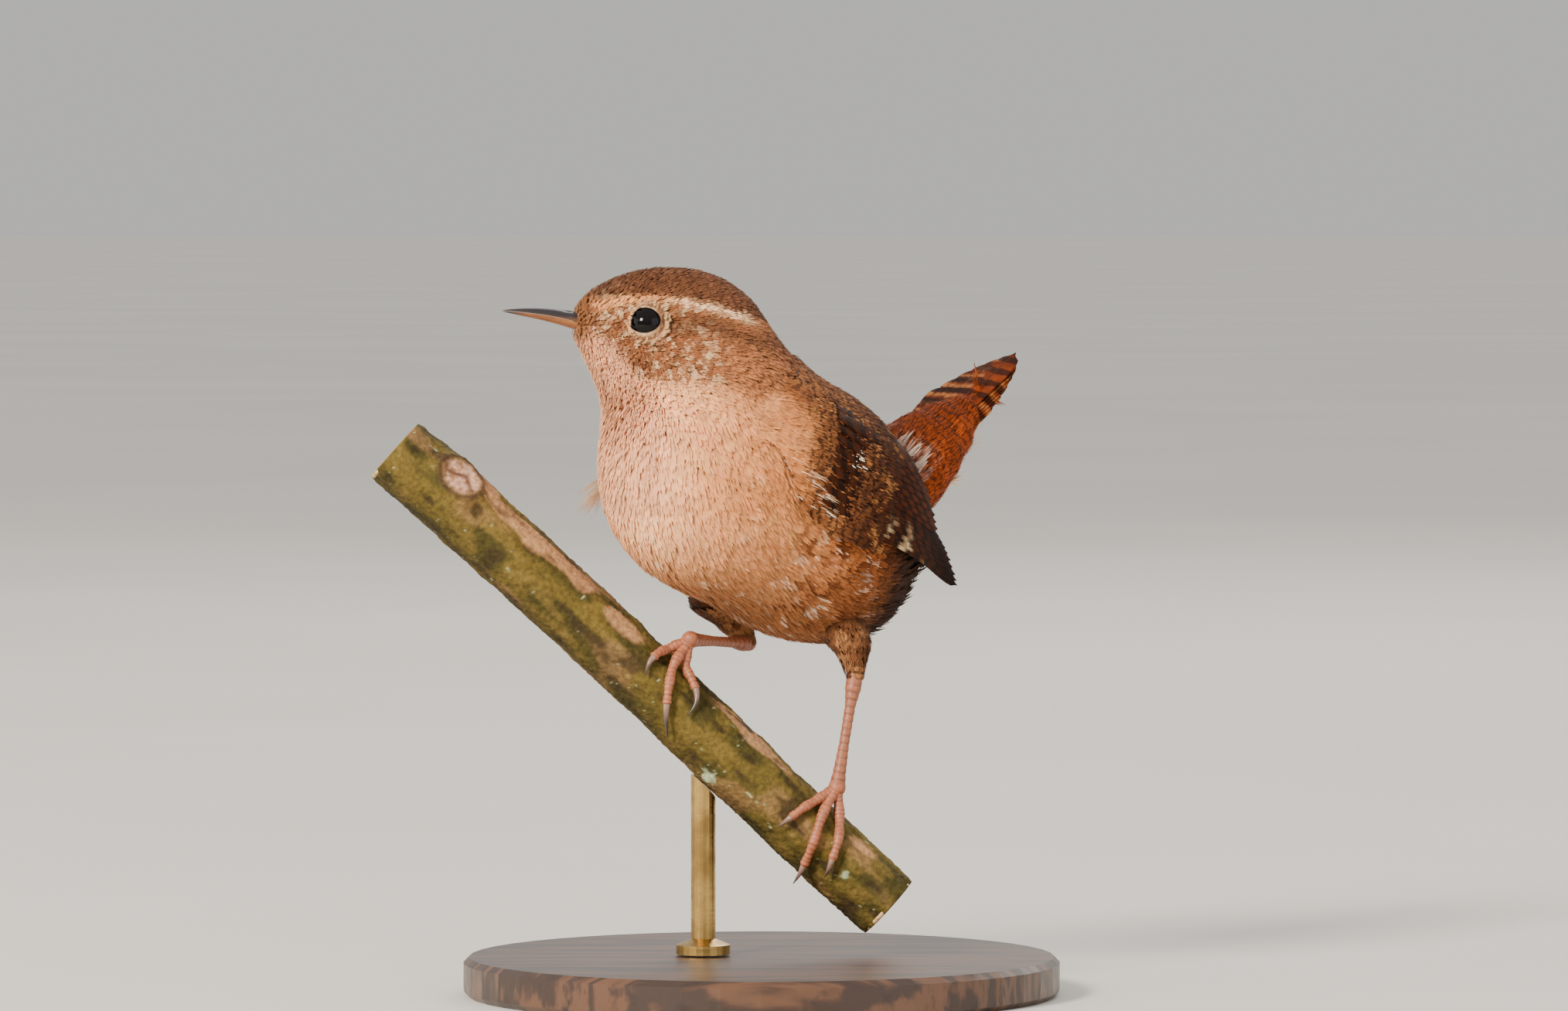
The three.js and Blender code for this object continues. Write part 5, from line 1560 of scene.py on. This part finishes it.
def legs():
    leg_look = tinted_material("leg_skin", 0.5, 1500, 0.22, 2800, 0.00008, Specular_IOR_Level=0.6)
    shine = {"Specular_IOR_Level": 0.5, "Coat_Weight": 0.2}
    claw_look = tinted_material("claw", 0.32, 1200, 0.25, 2400, 0.00005, **shine)
    tarsus_radii = [ANKLE_RADIUS * 0.9, ANKLE_RADIUS, TARSUS_RADIUS, 0.76, 1.0, PAD_RADIUS]
    for name, leg in LEGS.items():
        pad = perch_spot(*leg["pad"])
        top = leg["ankle"] - unit(pad - leg["ankle"]) * 0.8
        length = np.linalg.norm(pad - top)
        share = np.linspace(0, 1, 110)
        radii = np.interp(share, [0, 0.14, 0.3, 0.62, 0.88, 1], tarsus_radii)
        radii = radii + scuted(length, share, TARSUS_SCUTE, 0.11)
        route = top + (pad - top) * share[:, None]
        tarsus = scaly_limb(route, radii, length, TARSUS_SCUTE, 24, LEG_FLESH, 0.65)
        sole, faces = ball(pad, PAD_RADIUS * 1.04, 32, 20)
        for toe, (along, angle, claw_tip) in leg["toes"].items():
            spots = [perch_spot(a, g, TOE_RADIUS + GAP * 0.5) for a, g in zip(along, angle)]
            curve = Curve([pad, *spots])
            share = np.linspace(0, 1, 90)
            radii = TOE_RADIUS * (lerp(1.04, 0.8, share) + 0.09 * np.cos(share * 6 * math.pi))
            radii = radii + scuted(curve.length, share, TOE_SCUTE, 0.09)
            radii[-3:] *= V(0.93, 0.8, 0.55)
            limb = scaly_limb(curve.at(share), radii, curve.length, TOE_SCUTE, 20, TOE_PINK, 0.6)
            made = piece(f"digit_{name}_{toe}", *limb[:2], leg_look, "leg_skin", np.clip(limb[2], 0, 1))
            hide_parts(f"toe_{name}_{toe}")
            end, way = curve.at(1.0), curve.way(1.0)
            points, toe_faces, tone = claw(end - way * 0.35, end, way, perch_spot(*claw_tip))
            made = piece(f"nail_{name}_{toe}", points, toe_faces, claw_look, "claw", tone)
            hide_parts(f"claw_{name}_{toe}")
        points, faces, tone = joined([tarsus, [sole, faces, np.tile(TOE_PINK * 0.9, (len(sole), 1))]])
        made = piece(f"shank_{name}", points, faces, leg_look, "leg_skin", np.clip(tone, 0, 1))
        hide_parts(f"foot_{name}")


# Camera, floor and light

LENS = 200.0
SENSOR = 36.0
PHOTO_WIDTH = 241.4  # width of the photograph at the bird
PHOTO_MIDDLE = V(3.45, 0, 75.5)
ELEVATION = 2.0


def camera():
    data = bpy.data.cameras.new("camera")
    data.lens = LENS
    data.sensor_width = SENSOR
    data.sensor_fit = "HORIZONTAL"
    data.clip_start = 0.05
    made = bpy.data.objects.new("camera", data)
    tilt = math.radians(ELEVATION)
    away = PHOTO_WIDTH * LENS / SENSOR
    made.location = Vector((PHOTO_MIDDLE + V(0, -math.cos(tilt), math.sin(tilt)) * away) * MM)
    made.rotation_euler = (math.pi / 2 - tilt, 0, 0)
    bpy.context.scene.collection.objects.link(made)
    bpy.context.scene.camera = made


def floor():
    size = 30.0
    corners = [(-size, -size, 0), (size, -size, 0), (size, size, 0), (-size, size, 0)]
    mesh = bpy.data.meshes.new("floor")
    mesh.from_pydata(corners, [], [(0, 1, 2, 3)])
    n = Nodes("floor", 0.9, Specular_IOR_Level=0.1)
    tone = n.mix(n.steps(n.noise(3.0), 0.3, 0.7), srgb(214, 210, 203), srgb(219, 215, 208))
    mesh.materials.append(n.finish(tone))
    made = bpy.data.objects.new("floor", mesh)
    bpy.context.scene.collection.objects.link(made)


def light(name, at, size, power, colour):
    data = bpy.data.lights.new(name, "AREA")
    data.size = size
    data.energy = power
    data.color = colour
    made = bpy.data.objects.new(name, data)
    made.location = at
    aim = Vector(tuple(PHOTO_MIDDLE * MM)) - Vector(at)
    made.rotation_euler = aim.to_track_quat("-Z", "Y").to_euler()
    bpy.context.scene.collection.objects.link(made)


HORIZON = (0.56, 0.554, 0.54, 1)
ZENITH = (0.9, 0.89, 0.86, 1)


def studio():
    """Soft lamps, and a sky that is brighter overhead than at the horizon."""
    light("key", (-0.95, -1.3, 0.95), 0.4, 54.0, (1.0, 0.92, 0.82))
    light("low", (-1.3, -0.35, 0.3), 0.9, 4.0, (1.0, 0.95, 0.9))
    light("fill", (1.2, -1.0, 0.45), 1.2, 5.0, (0.95, 0.97, 1.0))
    light("back", (0.5, 1.2, 1.0), 0.8, 9.0, (1.0, 0.97, 0.92))
    world = bpy.data.worlds.new("studio")
    world.use_nodes = True
    tree = world.node_tree
    place = tree.nodes.new("ShaderNodeTexCoord")
    height = tree.nodes.new("ShaderNodeSeparateXYZ")
    rise = tree.nodes.new("ShaderNodeMapRange")
    rise.interpolation_type = "SMOOTHSTEP"
    rise.inputs["From Max"].default_value = 0.6
    sky = tree.nodes.new("ShaderNodeMix")
    sky.data_type = "RGBA"
    sky.inputs[6].default_value = HORIZON
    sky.inputs[7].default_value = ZENITH
    tree.links.new(place.outputs["Generated"], height.inputs[0])
    tree.links.new(height.outputs["Z"], rise.inputs["Value"])
    tree.links.new(rise.outputs[0], sky.inputs[0])
    tree.links.new(sky.outputs[2], tree.nodes["Background"].inputs["Color"])
    bpy.context.scene.world = world


# The order of these calls is that of the random draws
skin()
body_coat()
breast_plume()
wings()
tail()
thigh_coat()
eyes()
bill()
bark()
legs()
for node_name, look in (("stand_rod", metal_material()), ("stand_base", wood_material())):
    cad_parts[node_name].data.materials.clear()
    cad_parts[node_name].data.materials.append(look)
camera()
floor()
studio()
